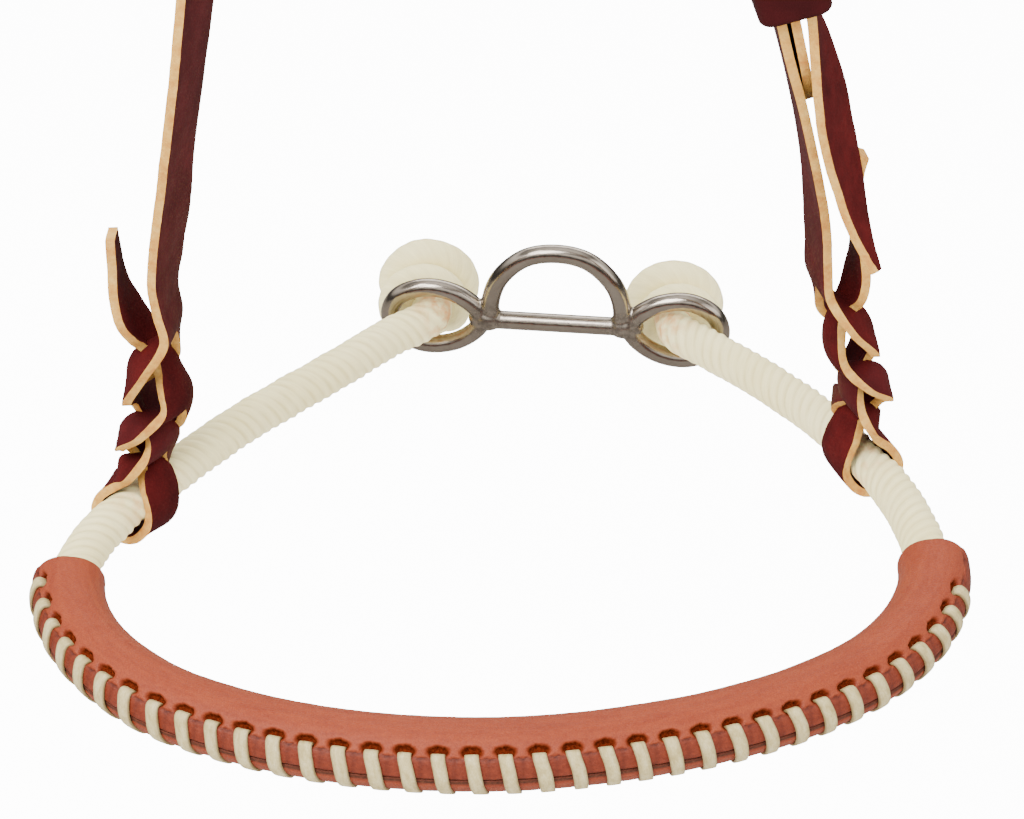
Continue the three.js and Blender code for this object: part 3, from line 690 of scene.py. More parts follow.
def build_cover():
    arcs = np.linspace(COVER_START, COVER_END, int((COVER_END - COVER_START) / 0.42) + 1)
    # from just above the seam, over and round to just below it; coarser round the inside
    turn = np.concatenate([np.arange(SEAM + 0.8, 60, 1.35), np.arange(60, 296, 5.0),
                           np.arange(296, 360 + SEAM - 0.8 + 0.1, 1.7)])
    arc, angle = np.meshgrid(arcs, np.where(turn > 200, turn - 360, turn), indexing="ij")
    radius, upper, lower, band, crease = cover_outer(arc, angle)
    # both free edges turn down into the seam, and the ends are rounded
    above = np.where(angle > SEAM, (angle - SEAM) / 2.6, 1.0)
    below = np.where(angle <= SEAM, (SEAM - angle) / 3.2, 1.0)
    ends = np.minimum(arc - COVER_START, COVER_END - arc)
    radius = (radius - 0.34 * (1 - quarter_round(above)) - 0.62 * (1 - quarter_round(below))
              - 0.45 * (1 - quarter_round(ends / 0.8)))
    centre, normal = line_at(arcs)

    def surface(r):
        return (centre[:, None, :] + normal[:, None, :] * (r * np.cos(angle * RAD))[..., None]
                + UP * (r * np.sin(angle * RAD))[..., None])

    # one closed skin: outer columns, then inner columns backwards
    skin = np.concatenate([surface(radius), surface(cover_inner(angle))[:, ::-1, :]], 1)
    rows, cols = angle.shape
    last = (rows - 1) * 2 * cols
    faces = grid_faces(rows, 2 * cols)
    faces += [(j, j + 1, 2 * cols - 2 - j, 2 * cols - 1 - j) for j in range(cols - 1)]
    faces += [(last + 2 * cols - 1 - j, last + 2 * cols - 2 - j, last + j + 1, last + j)
              for j in range(cols - 1)]

    edge = (np.clip((angle - (SEAM - 8.0)) / 1.5, 0, 1)
            * np.clip((SEAM - 1.2 - angle) / 1.2, 0, 1))
    edge = np.maximum(np.where(angle < SEAM, edge, 0), np.clip(1 - ends / 0.55, 0, 1) * 0.9)
    seam = np.clip(1 - np.abs(angle - (SEAM - 0.9)) / 1.5, 0, 1)
    seam = np.maximum(seam, 0.3 * np.clip(1 - np.abs(angle - (SEAM - 8.6)) / 1.2, 0, 1))

    def with_inner(outer, inner=0.0):
        return np.concatenate([outer, np.full(outer.shape, inner)], 1).ravel()

    uv = np.stack([angle * RAD * 8.2, arc], -1)
    uv = np.concatenate([uv, uv[:, ::-1]], 1).reshape(-1, 2)
    floats = {"hole": with_inner(np.maximum(upper, lower * 0.8)), "band": with_inner(band),
              "edge": with_inner(edge, 1.0), "seam": with_inner(seam),
              "crease": with_inner(crease)}
    cover = make("leather_cover", skin.reshape(-1, 3), faces, [COVER], uv, floats)
    register(outward(cover), ["nose_cover"], "noseband")


build_cover()

# ------------------------------------------------------------------ 3 lace
LACE_WIDTH, LACE_THICK = 2.75, 0.6
LACE_LIFT = 0.26                     # lace centre above the cover
LACE_INSIDE = 5.95                   # radius where it runs under the cover
# half widths across, half thicknesses up, "rim" darkening
LACE_SECTION = [
    (-1, -.55, 1), (-.93, -.92, .9), (-.75, -1, .35), (0, -1, 0), (.75, -1, .35),
    (.93, -.92, .9), (1, -.55, 1), (1, .55, 1), (.93, .92, .9), (.75, 1, .3), (.35, 1.06, 0),
    (0, 1.08, 0), (-.35, 1.06, 0), (-.75, 1, .3), (-.93, .92, .9), (-1, .55, 1)]


def lace_stations():
    """Arc, radius and section angle down through each pair of holes and back underneath."""
    back = HOLE_PITCH - SLANT
    rows = []
    for i in range(STITCHES):
        arc = FIRST_HOLE + i * HOLE_PITCH
        jitter = 0.12 * math.sin(i * 7.3)

        def over(angle, lift=0.0):
            return cover_inner(angle) + COVER_THICK + LACE_LIFT + lift

        rows += [
            (arc - back * .5, 6.0, 0), (arc - back * .22, LACE_INSIDE, 18),
            (arc - .1, LACE_INSIDE, UPPER_HOLES - 3), (arc, 7.2, UPPER_HOLES + .5),
            (arc + .02, over(UPPER_HOLES, -.35), UPPER_HOLES - .6),
            (arc + .12, over(30, .03), UPPER_HOLES - 5.5),
            (arc + SLANT * .36 + jitter, over(15, .12), 15),
            (arc + SLANT * .58 + jitter, over(-3, .10), -3),
            (arc + SLANT * .8, over(-22, .06), -22), (arc + SLANT * .96, over(-38, .05), -38),
            (arc + SLANT, over(-46, -.2), LOWER_HOLES + 1), (arc + SLANT, 7.4, LOWER_HOLES - .5),
            (arc + SLANT + .1, LACE_INSIDE, LOWER_HOLES + 3),
            (arc + SLANT + back * .24, LACE_INSIDE, -24)]
    rows.append((FIRST_HOLE + STITCHES * HOLE_PITCH - back * .5, 6.0, 0))
    return np.array(rows, float)


def build_lace():
    arc, radius, angle = lace_stations().T
    # smoothed in section coordinates: out, up, along
    path = np.stack([radius * np.cos(angle * RAD), radius * np.sin(angle * RAD), arc], 1)
    path, length = resample(catmull(path, 10), 0.42)
    # a tiny drift along keeps the flattened path's tangents from vanishing
    flat = path * np.array([1, 1, 0.0]) + np.array([0, 0, 1e-6]) * np.arange(len(path))[:, None]
    tangent = tangents(flat)
    normal = np.stack([-tangent[:, 1], tangent[:, 0]], 1)
    normal /= np.maximum(np.linalg.norm(normal, axis=1, keepdims=True), 1e-6)
    width = LACE_WIDTH * (1 + 0.10 * noise_line(length, 0.09, 0, 9.1))
    twist = 0.05 * noise_line(length, 0.2, 4, 2.1)
    verts, uv = [], []
    for across, up, _ in LACE_SECTION:
        centre, outwards = line_at(path[:, 2] + across * width / 2)
        offset = path[:, :2] + normal * (up * LACE_THICK / 2 + twist * across)[:, None]
        verts.append(centre + outwards * offset[:, :1] + UP * offset[:, 1:2])
        uv.append(np.stack([np.full(len(length), across * LACE_WIDTH / 2), length], 1))
    lace = make("rawhide_lacing", np.stack(verts, 1).reshape(-1, 3),
                capped_faces(len(length), len(LACE_SECTION)), [LACE],
                np.stack(uv, 1).reshape(-1, 2),
                {"rim": np.tile([rim for _, _, rim in LACE_SECTION], len(length))})
    register(outward(lace), ["cover_lacing"], "noseband")


build_lace()

# ------------------------------------------------------------------ 4 leather straps
# The headstall stands in an upright plane turned HEAD_TURN about z. In that plane, u and v are
# measured from the buckle bar: u through the straps' thickness, v up along them.
HEAD_TURN = 4.54
COS_TURN, SIN_TURN = math.cos(HEAD_TURN * RAD), math.sin(HEAD_TURN * RAD)
BUCKLE_X, BUCKLE_Z = 45.500, 172.792
U_X, U_Z = 0.96888, 0.24755
U_AXIS = np.array([U_X * COS_TURN, U_X * SIN_TURN, U_Z])
V_AXIS = np.array([-U_Z * COS_TURN, -U_Z * SIN_TURN, U_X])
DEPTH_AXIS = np.array([-SIN_TURN, COS_TURN, 0])      # square to the plane, away from the camera

STRAP_HALF, STRAP_THICK = 8.0, 2.05
SLIT = 3.8                           # opening of a slit
PINCH = 0.43                         # width left where a strap passes through a slit
COLUMNS = 7                          # quads across each half of a strap
FINE_BELOW = 92                      # rows below this height keep the fine spacing


def plane_point(x, z, depth=0.0):
    return np.array([-2.8 + x * COS_TURN - depth * SIN_TURN,
                     18.4 + x * SIN_TURN + depth * COS_TURN, z])


def buckle_xz(u, v):
    return BUCKLE_X + u * U_X - v * U_Z, BUCKLE_Z + u * U_Z + v * U_X


def buckle_point(u, v, depth=0.0):
    return plane_point(*buckle_xz(u, v), depth)


def strap_row(x, y, z, yaw, half=STRAP_HALF, slit=0.0, front=1.0, cup=0.0, back=None, tilt=0.0):
    """A strap station; back takes the front's value unless it is given."""
    return [x, y, z, yaw, half, slit, front, cup, front if back is None else back, tilt]


def plane_row(x, z, yaw=-HEAD_TURN, half=STRAP_HALF):
    """A station centred in the head plane; its front edge stands half a width in front."""
    width = np.array([math.sin(yaw * RAD), math.cos(yaw * RAD), 0])
    return strap_row(*(plane_point(x, z) - width * half), yaw, half)


# Stations: x, y, z of the front (-y) edge, yaw of the width in degrees, half width, slit
# opening, width factor of the front half, cupping, width factor of the back half, tilt in z.
CROWN_KNOT = [
    (-85.3, 5.2, 68.6, -2, 3.2), (-85.5, 4.9, 62.5, 0, 4.4), (-85.8, 4.6, 55, 2, 5.8),
    (-85.2, 4.5, 48.5, 4, 6.8), (-83.2, 4.8, 42.4, 9, 7.2, 0, .8, -.4),
    (-80.1, 5.2, 36.0, 12, 7.2, 0, PINCH, 0, .6), (-77.8, 4.4, 29.0, 15, 6.5, 0, .9, 1.6, .95, -.20),
    (-77.6, 4.2, 24.4, 17, 6.5, 0, 1, 1.6, 1, -.30),
    (-82.6, 4.0, 18.6, 21, 7.0, SLIT, 1, 0, 1, -.08), (-88.4, 3.4, 14.6, 23, 6.8, 0, .95, -1.2),
    (-87.6, 4.2, 11.6, 26, 6.8, 0, .36, -.6, .6), (-85.9, 1.8, 9.0, 27, 6.6, 0, PINCH),
    (-83.7, 0.6, 5.2, 27, 5.8, 0, .9, .5), (-82.4, -0.2, 0.6, 28, 5.2, 0, 1, .4),
    (-83.0, -1.0, -3.6, 28, 5.2), (-85.9, -1.8, -6.3, 27, 5.4), (-89.6, -1.2, -6.7, 28, 5.6),
    (-93.4, 0.2, -4.6, 28, 5.6), (-94.9, 1.0, -0.4, 28, 5.7), (-93.3, 1.2, 3.8, 28, 5.8),
    (-89.8, 1.6, 6.2, 27, 6.2), (-85.9, 2.0, 8.5, 26, 6.6, SLIT),
    (-82.3, 2.8, 13.4, 24, 6.8, 0, 1, 1.0), (-82.2, 3.2, 16.0, 22, 7.0, 0, .8, .8),
    (-84.0, 3.8, 19.0, 19, 7.0, 0, PINCH, 0, 1), (-85.8, 5.4, 22.4, 18, 7.0, 0, .36, -.8, 1.15),
    (-85.7, 4.4, 26.4, 15, 7.0, 0, .95, -1.2, 1), (-80.4, 4.5, 35.0, 12, 7.2, SLIT),
    (-75.9, 4.5, 42.6, 6.5, 7.2, 0, 1, .3), (-76.8, 4.5, 49.7, 7.5, 7.6), (-77.4, 4.5, 57.6, 15),
    (-75.2, 4.5, 71.5, 17.5), (-73.3, 4.5, 81.5, 16), (-70.9, 4.5, 94, 15),
    (-68.2, 4.5, 109, 16), (-65.8, 4.6, 124, 17.5)]
CROWN_RISE = [(-54.8, 170, 11), (-49.2, 230, 1), (-46, 290)]       # x, z in the plane, yaw
# u, v down over the buckle
CROWN_BUCKLE = [(-1.5, 62), (-1.4, 34), (-.9, 24), (-.3, 18.6), (1.2, 13.5), (3.4, 8), (5.6, 3),
                (6.5, -2), (6.2, -9), (5.3, -22), (5.1, -32), (4.0, -42), (3.8, -48), (3.8, -54)]
CROWN_TIP = [
    (61.4, 15.2, 114.4, 2), (62.4, 14.6, 106.5, 13), (63.9, 13.6, 96, 22),
    (65.3, 13.2, 88.5, 24.5), (66.8, 13, 83.2, 25, 7.6), (69.1, 12.0, 76.4, 25, 6.7),
    (72.2, 10.2, 68.8, 26, 4.4), (75.0, 8.4, 63.9, 27, 2.4), (78.0, 6.4, 59.9, 28, 0.9)]

# u, v, half width of the folded end, up to the buckle bar
CHEEK_FOLD = [(0, -82, 1.2), (0, -79, 3.6), (0, -74.5, 6.6), (0, -68, 8), (0, -50, 8),
              (0, -24, 8), (.4, -17, 8), (1.6, -11, 8), (3.0, -5, 8)]
CHEEK_BAR_RADIUS = 3.25
CHEEK_BAR_ANGLES = (0, .63, 1.26, 1.88, 2.51, math.pi)
CHEEK_DROP = [(48.0575, 150), (54.445, 125)]                       # x, z in the plane
CHEEK_KNOT = [
    (56.0, 15.35, 111, -4.3), (61.8, 16.3, 91.3, -4), (66.0, 16.3, 75.4, -7),
    (67.9, 16.3, 66.5, -9), (69.4, 16.3, 54.6, -11, 7.6), (70.5, 16.3, 46.8, -12, 7.4, 0, 1, -.3),
    (75.4, 16.3, 39.0, -12, 7.2, SLIT), (81.7, 16.3, 31.8, -14, 7.0, 0, 1, 1.4),
    (82.4, 17.2, 28.2, -15, 7.0, 0, .4, 1.2, 1), (80.7, 16.1, 23.9, -17, 7.0, 0, PINCH, 0, .8),
    (79.6, 15.8, 20.4, -15, 6.6, 0, .85, -.8), (79.8, 15.5, 17.0, -14, 6.4, 0, 1, -1.0),
    (81.8, 15.8, 12.1, -18, 6.4, SLIT), (84.6, 16.2, 8.4, -21, 6.2, 0, 1, .3),
    (87.6, 17.0, 5.8, -21, 5.8), (90.2, 17.2, 1.2, -21, 5.7), (89.4, 16.8, -3.6, -21, 5.6),
    (86.0, 16.4, -6.4, -21, 5.6), (82.2, 16.4, -6.5, -21, 5.6), (79.6, 16.4, -4.6, -20, 5.3),
    (77.8, 16.0, -0.8, -20, 5.3, 0, 1, -.4), (77.9, 15.2, 3.2, -20, 5.5, 0, 1, -.5),
    (79.2, 15.0, 7.6, -20, 6.0, 0, .9, -.4), (82.0, 15.2, 12.4, -21, 6.6, 0, PINCH, 0, .75),
    (85.4, 16.6, 16.2, -20, 6.8, 0, .38, .8, .9), (86.2, 16, 19.6, -19, 7.0, 0, .95, 1.2),
    (80.6, 16, 23.6, -17, 7.0, SLIT), (75.6, 16.3, 28.0, -12, 6.6, 0, 1, -1.3),
    (74.2, 16.3, 32.6, -9, 6.6, 0, .9, -1.3), (75.2, 16.3, 39.0, -12, 7.2, 0, PINCH),
    (77.6, 16.3, 45.6, -9, 7.4, 0, .85, .3), (77.9, 16.6, 52, -6, 7.2), (76.6, 18.4, 61.0, -3, 6.6),
    (75.6, 21.2, 68, 0, 5.8), (75.6, 24.0, 74, 2, 4.8), (76.5, 25.0, 77.8, 3, 4.2)]

# u, v, length, radius, half the straight part of a slotted hole
CROWN_HOLES = [(-1.4, 58, 12, 2.1, 0), (-1.4, 84, 12, 2.1, 0), (-1.5, 110, 14, 2.1, 0),
               (3.4, 8.2, 16, 2.2, 3.0)]
CHEEK_HOLES = [(0, 3.2, 5.4, 2.4, 0.6), (-1.6, -30, 8.5, 2.3, 0)]


def crown_rows():
    rows = [strap_row(*station) for station in CROWN_KNOT]
    rows += [plane_row(*station) for station in CROWN_RISE]
    for i in range(12):                                            # arch over the poll
        a = math.pi - math.pi * i / 11
        rows.append(plane_row(-8.5 + 37 * math.cos(a), 335 + 44 * math.sin(a)))
    rows.append(plane_row(28.2, 290))
    rows += [plane_row(*buckle_xz(u, v)) for u, v in CROWN_BUCKLE]
    return rows + [strap_row(*station) for station in CROWN_TIP]


def cheek_rows():
    rows = [plane_row(*buckle_xz(u, v), half=half) for u, v, half in CHEEK_FOLD]
    rows += [plane_row(*buckle_xz(CHEEK_BAR_RADIUS * math.cos(a), CHEEK_BAR_RADIUS * math.sin(a)))
             for a in CHEEK_BAR_ANGLES]
    rows += [plane_row(x, z) for x, z in CHEEK_DROP]
    return rows + [strap_row(*station) for station in CHEEK_KNOT]


def strap_surface(rows, seed, lean):
    """Grid of points over a strap, front column first, and the slit opening at each row."""
    rows, arc = resample(catmull(rows, 24), 0.72)
    keep = np.array([z < FINE_BELOW or i % 3 == 0 or i == len(rows) - 1
                     for i, z in enumerate(rows[:, 2])])
    rows, arc = rows[keep], arc[keep]
    edge_line, yaw, half, cup = rows[:, :3], rows[:, 3] * RAD, rows[:, 4], rows[:, 7]
    slit = np.clip(rows[:, 5], 0, None)
    slit = np.where(slit < 0.12, 0, slit)
    factors = {-1: np.clip(rows[:, 6], .3, 1), 1: np.clip(rows[:, 8], .3, 1.3)}
    width = unit(np.stack([np.sin(yaw), np.cos(yaw), rows[:, 9]], 1))
    tangent = tangents(edge_line)
    width = unit(width - tangent * (width * tangent).sum(1)[:, None])
    centre = edge_line + width * (half + 0.5 * slit)[:, None]
    normal = np.cross(tangent, width)
    facing = np.where(normal[:, 0] >= 0, 1.0, -1.0)
    columns = []
    for side, start in ((-1, -1), (1, 0)):
        edge = (noise_line(arc, .16, side * 9.0, seed) * 0.35
                + noise_line(arc, .6, side * 5.0, seed + 3) * 0.16
                + noise_line(arc, 1.3, side * 3.0, seed + 5) * 0.10)
        factor = factors[side]
        for u in np.linspace(start, start + 1, COLUMNS + 1):
            wave = noise_line(arc, .07, u * .8, seed + 7) * 0.35
            lateral = u * half * factor + side * slit + edge * abs(u) ** 4
            # a narrowed strap buckles across its width
            buckle = (1 - factor) * 1.6 * math.sin(u * math.pi)
            # beside a slit the two halves roll opposite ways
            roll = lean * np.clip(slit / SLIT, 0, 1) * ((1 + u) if side < 0 else -0.8 * (1 - u))
            lift = facing * (cup * (1 - u * u) + roll) + wave * .5 + buckle * 0.6
            columns.append(centre + width * lateral[:, None] + normal * lift[:, None])
    return np.stack(columns, 1), slit


def strap_sheet(name, rows, seed, lean):
    """One sheet of leather; its two centre columns part only where a slit is open."""
    points, slit = strap_surface(rows, seed, lean)
    bm = bmesh.new()
    grid = []
    for row, opening in zip(to_metres(points), slit):
        verts = []
        for j, point in enumerate(row):
            shared = j == COLUMNS + 1 and opening == 0
            verts.append(verts[COLUMNS] if shared else bm.verts.new(point))
        grid.append(verts)
    for lower, upper in zip(grid, grid[1:]):
        for j in range(len(lower) - 1):
            if j != COLUMNS:
                bm.faces.new([lower[j], lower[j + 1], upper[j + 1], upper[j]])
    mesh = bpy.data.meshes.new(name)
    bm.to_mesh(mesh)
    bm.free()
    set_smooth(mesh)
    for material in (GRAIN, FLESH, CUT, BORDER):
        mesh.materials.append(material)
    strap = link_object(name, mesh)
    # the back takes the flesh material, the rim the cut edge
    modify(strap, "SOLIDIFY", thickness=STRAP_THICK * MM, offset=0, material_offset=1,
           material_offset_rim=2)
    apply_modifiers(strap)
    return strap


def hole_cutter(u, v, length, radius, stretch, segments=32):
    """A round or slotted bar through the strap's thickness."""
    axis = unit(U_AXIS)
    down = np.cross(DEPTH_AXIS, axis)
    ring = []
    for i in range(segments):
        a = 2 * math.pi * i / segments
        slot = stretch if math.sin(a) > 0 else -stretch
        ring.append(DEPTH_AXIS * radius * math.cos(a) + down * (radius * math.sin(a) + slot))
    centre = buckle_point(u, v)
    verts = [centre + axis * (end * length / 2) + p for end in (-1, 1) for p in ring]
    return outward(make("hole_cutter", verts, capped_faces(2, segments), [CUT]))


def build_strap(name, rows, seed, lean, holes, nodes):
    strap = strap_sheet(name, rows, seed, lean)
    cut(strap, [hole_cutter(*hole) for hole in holes])
    # the bevel carries the dye border, material slot 3
    modify(strap, "BEVEL", width=0.42 * MM, segments=2, limit_method="ANGLE",
           angle_limit=52 * RAD, material=3, use_clamp_overlap=True)
    apply_modifiers(strap)
    set_smooth(strap.data)
    register(strap, nodes)
    return strap


crown = build_strap("crown_strap_leather", crown_rows(), seed=11.0, lean=-4.3, holes=CROWN_HOLES,
                    nodes=["crown_strap", "crown_strap_knot"])
cheek = build_strap("cheek_strap_leather", cheek_rows(), seed=23.0, lean=4.2, holes=CHEEK_HOLES,
                    nodes=["cheek_strap", "cheek_strap_knot"])

# each strap passes from the noseband to the headstall over this length; the loop below bakes each
# strap's transform into its mesh
BLEND, CROWN_LEAN = 20, 20 * RAD
for strap, (x, y, z), lean in ((crown, (-78, 12.5, 40), CROWN_LEAN), (cheek, (76, 24, 41), 0)):
    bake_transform(strap)


# ------------------------------------------------------------------ 5 metalwork and keeper
def tube(name, points, radius, around=28, step=0.45, closed=False, up=UP):
    """A wire through points; radius is one value, or several spread evenly along it."""
    path, arc = resample(catmull(points, 24, closed), step, closed)
    tangent = tangents(path, closed)
    if closed:
        normal = unit(np.cross(tangent, np.broadcast_to(up, tangent.shape)))
    else:
        normal = transport(tangent, np.asarray(up, float))
    radii = np.atleast_1d(radius)
    radius = np.interp(arc, np.linspace(0, arc[-1], len(radii)), radii)
    rings = tube_rings(path, normal, np.cross(tangent, normal),
                       radius[:, None] * np.ones((1, around)))
    faces = grid_faces(len(path), around, True) if closed else capped_faces(len(path), around)
    return outward(make(name, rings.reshape(-1, 3), faces, [NICKEL]))


def ball(centre, radius, stretch):
    bm = bmesh.new()
    bmesh.ops.create_icosphere(bm, subdivisions=4, radius=1.0)
    verts = [np.array(v.co) * radius * np.array(stretch) + centre for v in bm.verts]
    faces = [[v.index for v in face.verts] for face in bm.faces]
    bm.free()
    return outward(make("ball", verts, faces, [NICKEL]))


def fuse(name, parts, voxel, smoothing):
    """Melt overlapping parts into one skin."""
    mesh = bpy.data.meshes.new(name)
    bm = bmesh.new()
    for part in parts:
        bm.from_mesh(part.data)
    bm.to_mesh(mesh)
    bm.free()
    for part in parts:
        bpy.data.objects.remove(part)
    obj = link_object(name, mesh)
    modify(obj, "REMESH", mode="VOXEL", voxel_size=voxel * MM, use_smooth_shade=True)
    modify(obj, "SMOOTH", iterations=smoothing, factor=0.5)
    apply_modifiers(obj)
    obj.data.materials.append(NICKEL)
    set_smooth(obj.data)
    return obj


# Tie-down fitting: x along its bar, which is turned about z, and z up
FITTING_CENTRE, FITTING_TURN = np.array([11.15, 79.3, 0.0]), -6.2 * RAD
FITTING_WIRE = 2.38
EYE_CENTRE = 30.5
EYE_STRETCH = {1: 1.07, -1: 1.14}    # the outer half of the right and left eyes
EYE = [(10.6, 0), (8.7, 5.2), (3, 8.35), (-4, 7.5), (-9.8, 3.6), (-11.7, 0), (-9.8, -3.6),
       (-4, -7.5), (3, -8.35), (8.7, -5.2)]                        # x, z, outer end first
DEE = [(-16, 0), (-16.8, 4), (-14.6, 12), (-8, 18.7), (0, 20.5), (8, 18.7), (14.6, 12),
       (16.8, 4), (16, 0)]                                         # x, z


def fitting_point(x, y, z):
    c, s = math.cos(FITTING_TURN), math.sin(FITTING_TURN)
    return FITTING_CENTRE + np.array([x * c - y * s, x * s + y * c, z])


def build_fitting():
    side_on = fitting_point(0, 1, 0) - fitting_point(0, 0, 0)
    parts = []
    for side in (1, -1):
        eye = [fitting_point(side * (EYE_CENTRE + (x * EYE_STRETCH[side] if x > 0 else x)), 0, z)
               for x, z in EYE]
        parts.append(tube("eye", eye, FITTING_WIRE, closed=True, up=side_on))
        # weld beads between eye and dee
        parts.append(ball(fitting_point(side * 17.2, -0.3, 0.2), 2.95, stretch=(1.25, .95, 1.05)))
        parts.append(ball(fitting_point(side * 19.4, 0.4, 0.0), 2.75, stretch=(1.1, .9, .95)))
    bar = [fitting_point(x, 0, 0) for x in (-18, -9, 0, 9, 18)]
    parts.append(tube("bar", bar, FITTING_WIRE))
    parts.append(tube("dee", [fitting_point(x, 0, z) for x, z in DEE], FITTING_WIRE, up=side_on))
    fitting = fuse("tie_down_fitting", parts, voxel=0.34, smoothing=5)
    # "weld" fades out from each bead
    points = np.empty(len(fitting.data.vertices) * 3)
    fitting.data.vertices.foreach_get("co", points)
    points = points.reshape(-1, 3) * 1000 - ORIGIN
    weld = np.zeros(len(points))
    for side in (1, -1):
        gap = np.linalg.norm(points - fitting_point(side * 17.6, 0, 0.4), axis=1)
        weld = np.maximum(weld, np.clip(1.25 - gap / 6.2, 0, 1))
    add_float(fitting.data, "weld", weld)
    register(fitting, ["tie_down_ring"], "ring")


build_fitting()

# v, depth, u round the wire loop, starting on the bar
BUCKLE_LOOP = [
    (0, -8, 0), (0, 0, 0), (0, 8, 0), (.9, 10, .15), (3.4, 10.7, .55), (9.5, 10.7, 1.55),
    (15.6, 10.7, 2.55), (18.1, 10, 2.95), (19, 8, 3.1), (19, 0, 3.1), (19, -8, 3.1),
    (18.1, -10, 2.95), (15.6, -10.7, 2.55), (9.5, -10.7, 1.55), (3.4, -10.7, .55),
    (.9, -10, .15)]
BUCKLE_LENGTH, BUCKLE_RISE = BUCKLE_LOOP[9][0], BUCKLE_LOOP[9][2]
# radius, depth of the eye that turns on the bar
TONGUE_EYE = [(1.95, -1.35), (2.2, -1.7), (3.1, -1.7), (3.5, -1.3), (3.5, 1.3), (3.1, 1.7),
              (2.2, 1.7), (1.95, 1.35)]
TONGUE_LINE = [(2.1, 1.9), (3.0, 5.2), (4.0, 10), (5.1, 14.5), (6.15, 18.6), (6.3, 22)]  # u, v
TONGUE_RADII = [1.3, 1.25, 1.2, 1.15, 1.15, 1.15, 1.1, .95, .6]


def build_buckle_frame():
    square = unit(U_AXIS - V_AXIS * BUCKLE_RISE / BUCKLE_LENGTH)
    wire = tube("buckle_frame_wire", [buckle_point(u, v, depth) for v, depth, u in BUCKLE_LOOP],
                1.6, around=24, step=0.5, closed=True, up=square)
    register(wire, ["buckle_frame"], "headstall")


def build_tongue(segments=40):
    verts = []
    for i in range(segments):
        a = i * 2 * math.pi / segments
        spoke = math.cos(a) * U_AXIS + math.sin(a) * V_AXIS
        verts += [buckle_point(0, 0) + spoke * radius + DEPTH_AXIS * depth
                  for radius, depth in TONGUE_EYE]
    faces = grid_faces(segments, len(TONGUE_EYE), True)
    eye = outward(make("tongue_eye", verts, faces, [NICKEL]))
    wire = tube("tongue_wire", [buckle_point(u, v) for u, v in TONGUE_LINE], TONGUE_RADII,
                around=20, step=0.35, up=DEPTH_AXIS)
    tongue = fuse("buckle_tongue_wire", [eye, wire], voxel=0.2, smoothing=3)
    register(tongue, ["buckle_tongue"], "tongue")


build_buckle_frame()
build_tongue()

KEEPER_LOW, KEEPER_HEIGHT, KEEPER_RINGS = -58, 15, 31
KEEPER_ASKEW = 0.055                 # rise per millimetre of depth


def rounded_rectangle(u0, u1, depth, radius, steps=8):
    corners = ((u1 - radius, -depth + radius, -90), (u1 - radius, depth - radius, 0),
               (u0 + radius, depth - radius, 90), (u0 + radius, -depth + radius, 180))
    angles = [90 * i / steps for i in range(steps + 1)]
    return np.array([(u + radius * math.cos((start + a) * RAD),
                      w + radius * math.sin((start + a) * RAD))
                     for u, w, start in corners for a in angles])


def build_keeper():
    """A band of leather round the straps, bulged outside and with rounded rims."""
    outline = rounded_rectangle(-7.4, 8.1, 11.0, 3.2)
    opening = rounded_rectangle(-5.35, 6.05, 9.0, 1.2)
    outer, inner = [], []
    for k in np.linspace(0, 1, KEEPER_RINGS):
        v = KEEPER_LOW + KEEPER_HEIGHT * k
        rim = quarter_round(min(k, 1 - k) * KEEPER_HEIGHT / 1.1)
        bulge = 0.30 * math.sin(math.pi * k) - 0.1 - 0.45 * (1 - rim)
        for ring, swell, rough, store in ((outline, bulge, 0.12, outer),
                                          (opening, 0.0, 0.06, inner)):
            spoke = unit(ring - np.array([0.35, 0.0]))
            lumps = np.array([noise.noise(Vector((u * .18, w * .18, v * .25))) for u, w in ring])
            moved = ring + spoke * (swell + rough * lumps)[:, None]
            store.append([buckle_point(u, v + KEEPER_ASKEW * flat[1], w)
                          for (u, w), flat in zip(moved, ring)])
    around = len(outline)
    skin = np.array(outer + inner[::-1])
    wall = (KEEPER_RINGS - 1) * around
    slots = [0] * wall + [1] * around + [2] * wall + [1] * around
    keeper = make("leather_keeper", skin.reshape(-1, 3), grid_faces(len(skin), around, True),
                  [KEEPER, CUT, FLESH], slots=slots)
    register(outward(keeper), ["strap_keeper"], "keeper")


build_keeper()

# Two-part screw along u: radius, u
SCREW_V = -30
POST = [(0.02, -6.2), (3.4, -6.2), (4.2, -6.05), (4.6, -5.7), (4.6, -4.95), (4.5, -4.85),
        (2.0, -4.85), (2.0, 1.15), (1.9, 1.2), (1.25, 1.2), (1.2, 1.1), (1.2, -4.2),
        (0.02, -4.2)]
CAP = [(0.02, -3.2), (.7, -3.2), (.9, -3.0), (.9, 1.6), (4.5, 1.6), (4.6, 1.7), (4.6, 2.15),
       (4.3, 2.5), (3.6, 2.62), (0.02, 2.7)]
SLOT_HALF = 0.45, 0.55, 6            # u, v, depth


def turned(name, profile, segments=48):
    angles = np.arange(segments) / segments * 2 * math.pi
    verts = [buckle_point(0, SCREW_V) + U_AXIS * u
             + (V_AXIS * math.cos(a) + DEPTH_AXIS * math.sin(a)) * radius
             for radius, u in profile for a in angles]
    obj = outward(make(name, verts, capped_faces(len(profile), segments), [NICKEL]))
    modify(obj, "BEVEL", width=0.12 * MM, segments=3, limit_method="ANGLE", angle_limit=35 * RAD)
    apply_modifiers(obj)
    set_smooth(obj.data)
    return obj


def slot_cutter():
    """A flat-faced box across the top of the cap."""
    u_half, v_half, depth_half = SLOT_HALF
    centre = buckle_point(CAP[-1][1], SCREW_V)
    verts = [centre + U_AXIS * a * u_half + V_AXIS * b * v_half + DEPTH_AXIS * c * depth_half
             for a in (-1, 1) for b in (-1, 1) for c in (-1, 1)]
    faces = [(0, 1, 3, 2), (4, 6, 7, 5), (0, 4, 5, 1), (2, 3, 7, 6), (0, 2, 6, 4), (1, 5, 7, 3)]
    return outward(make("slot_cutter", verts, faces, [NICKEL], smooth=False))


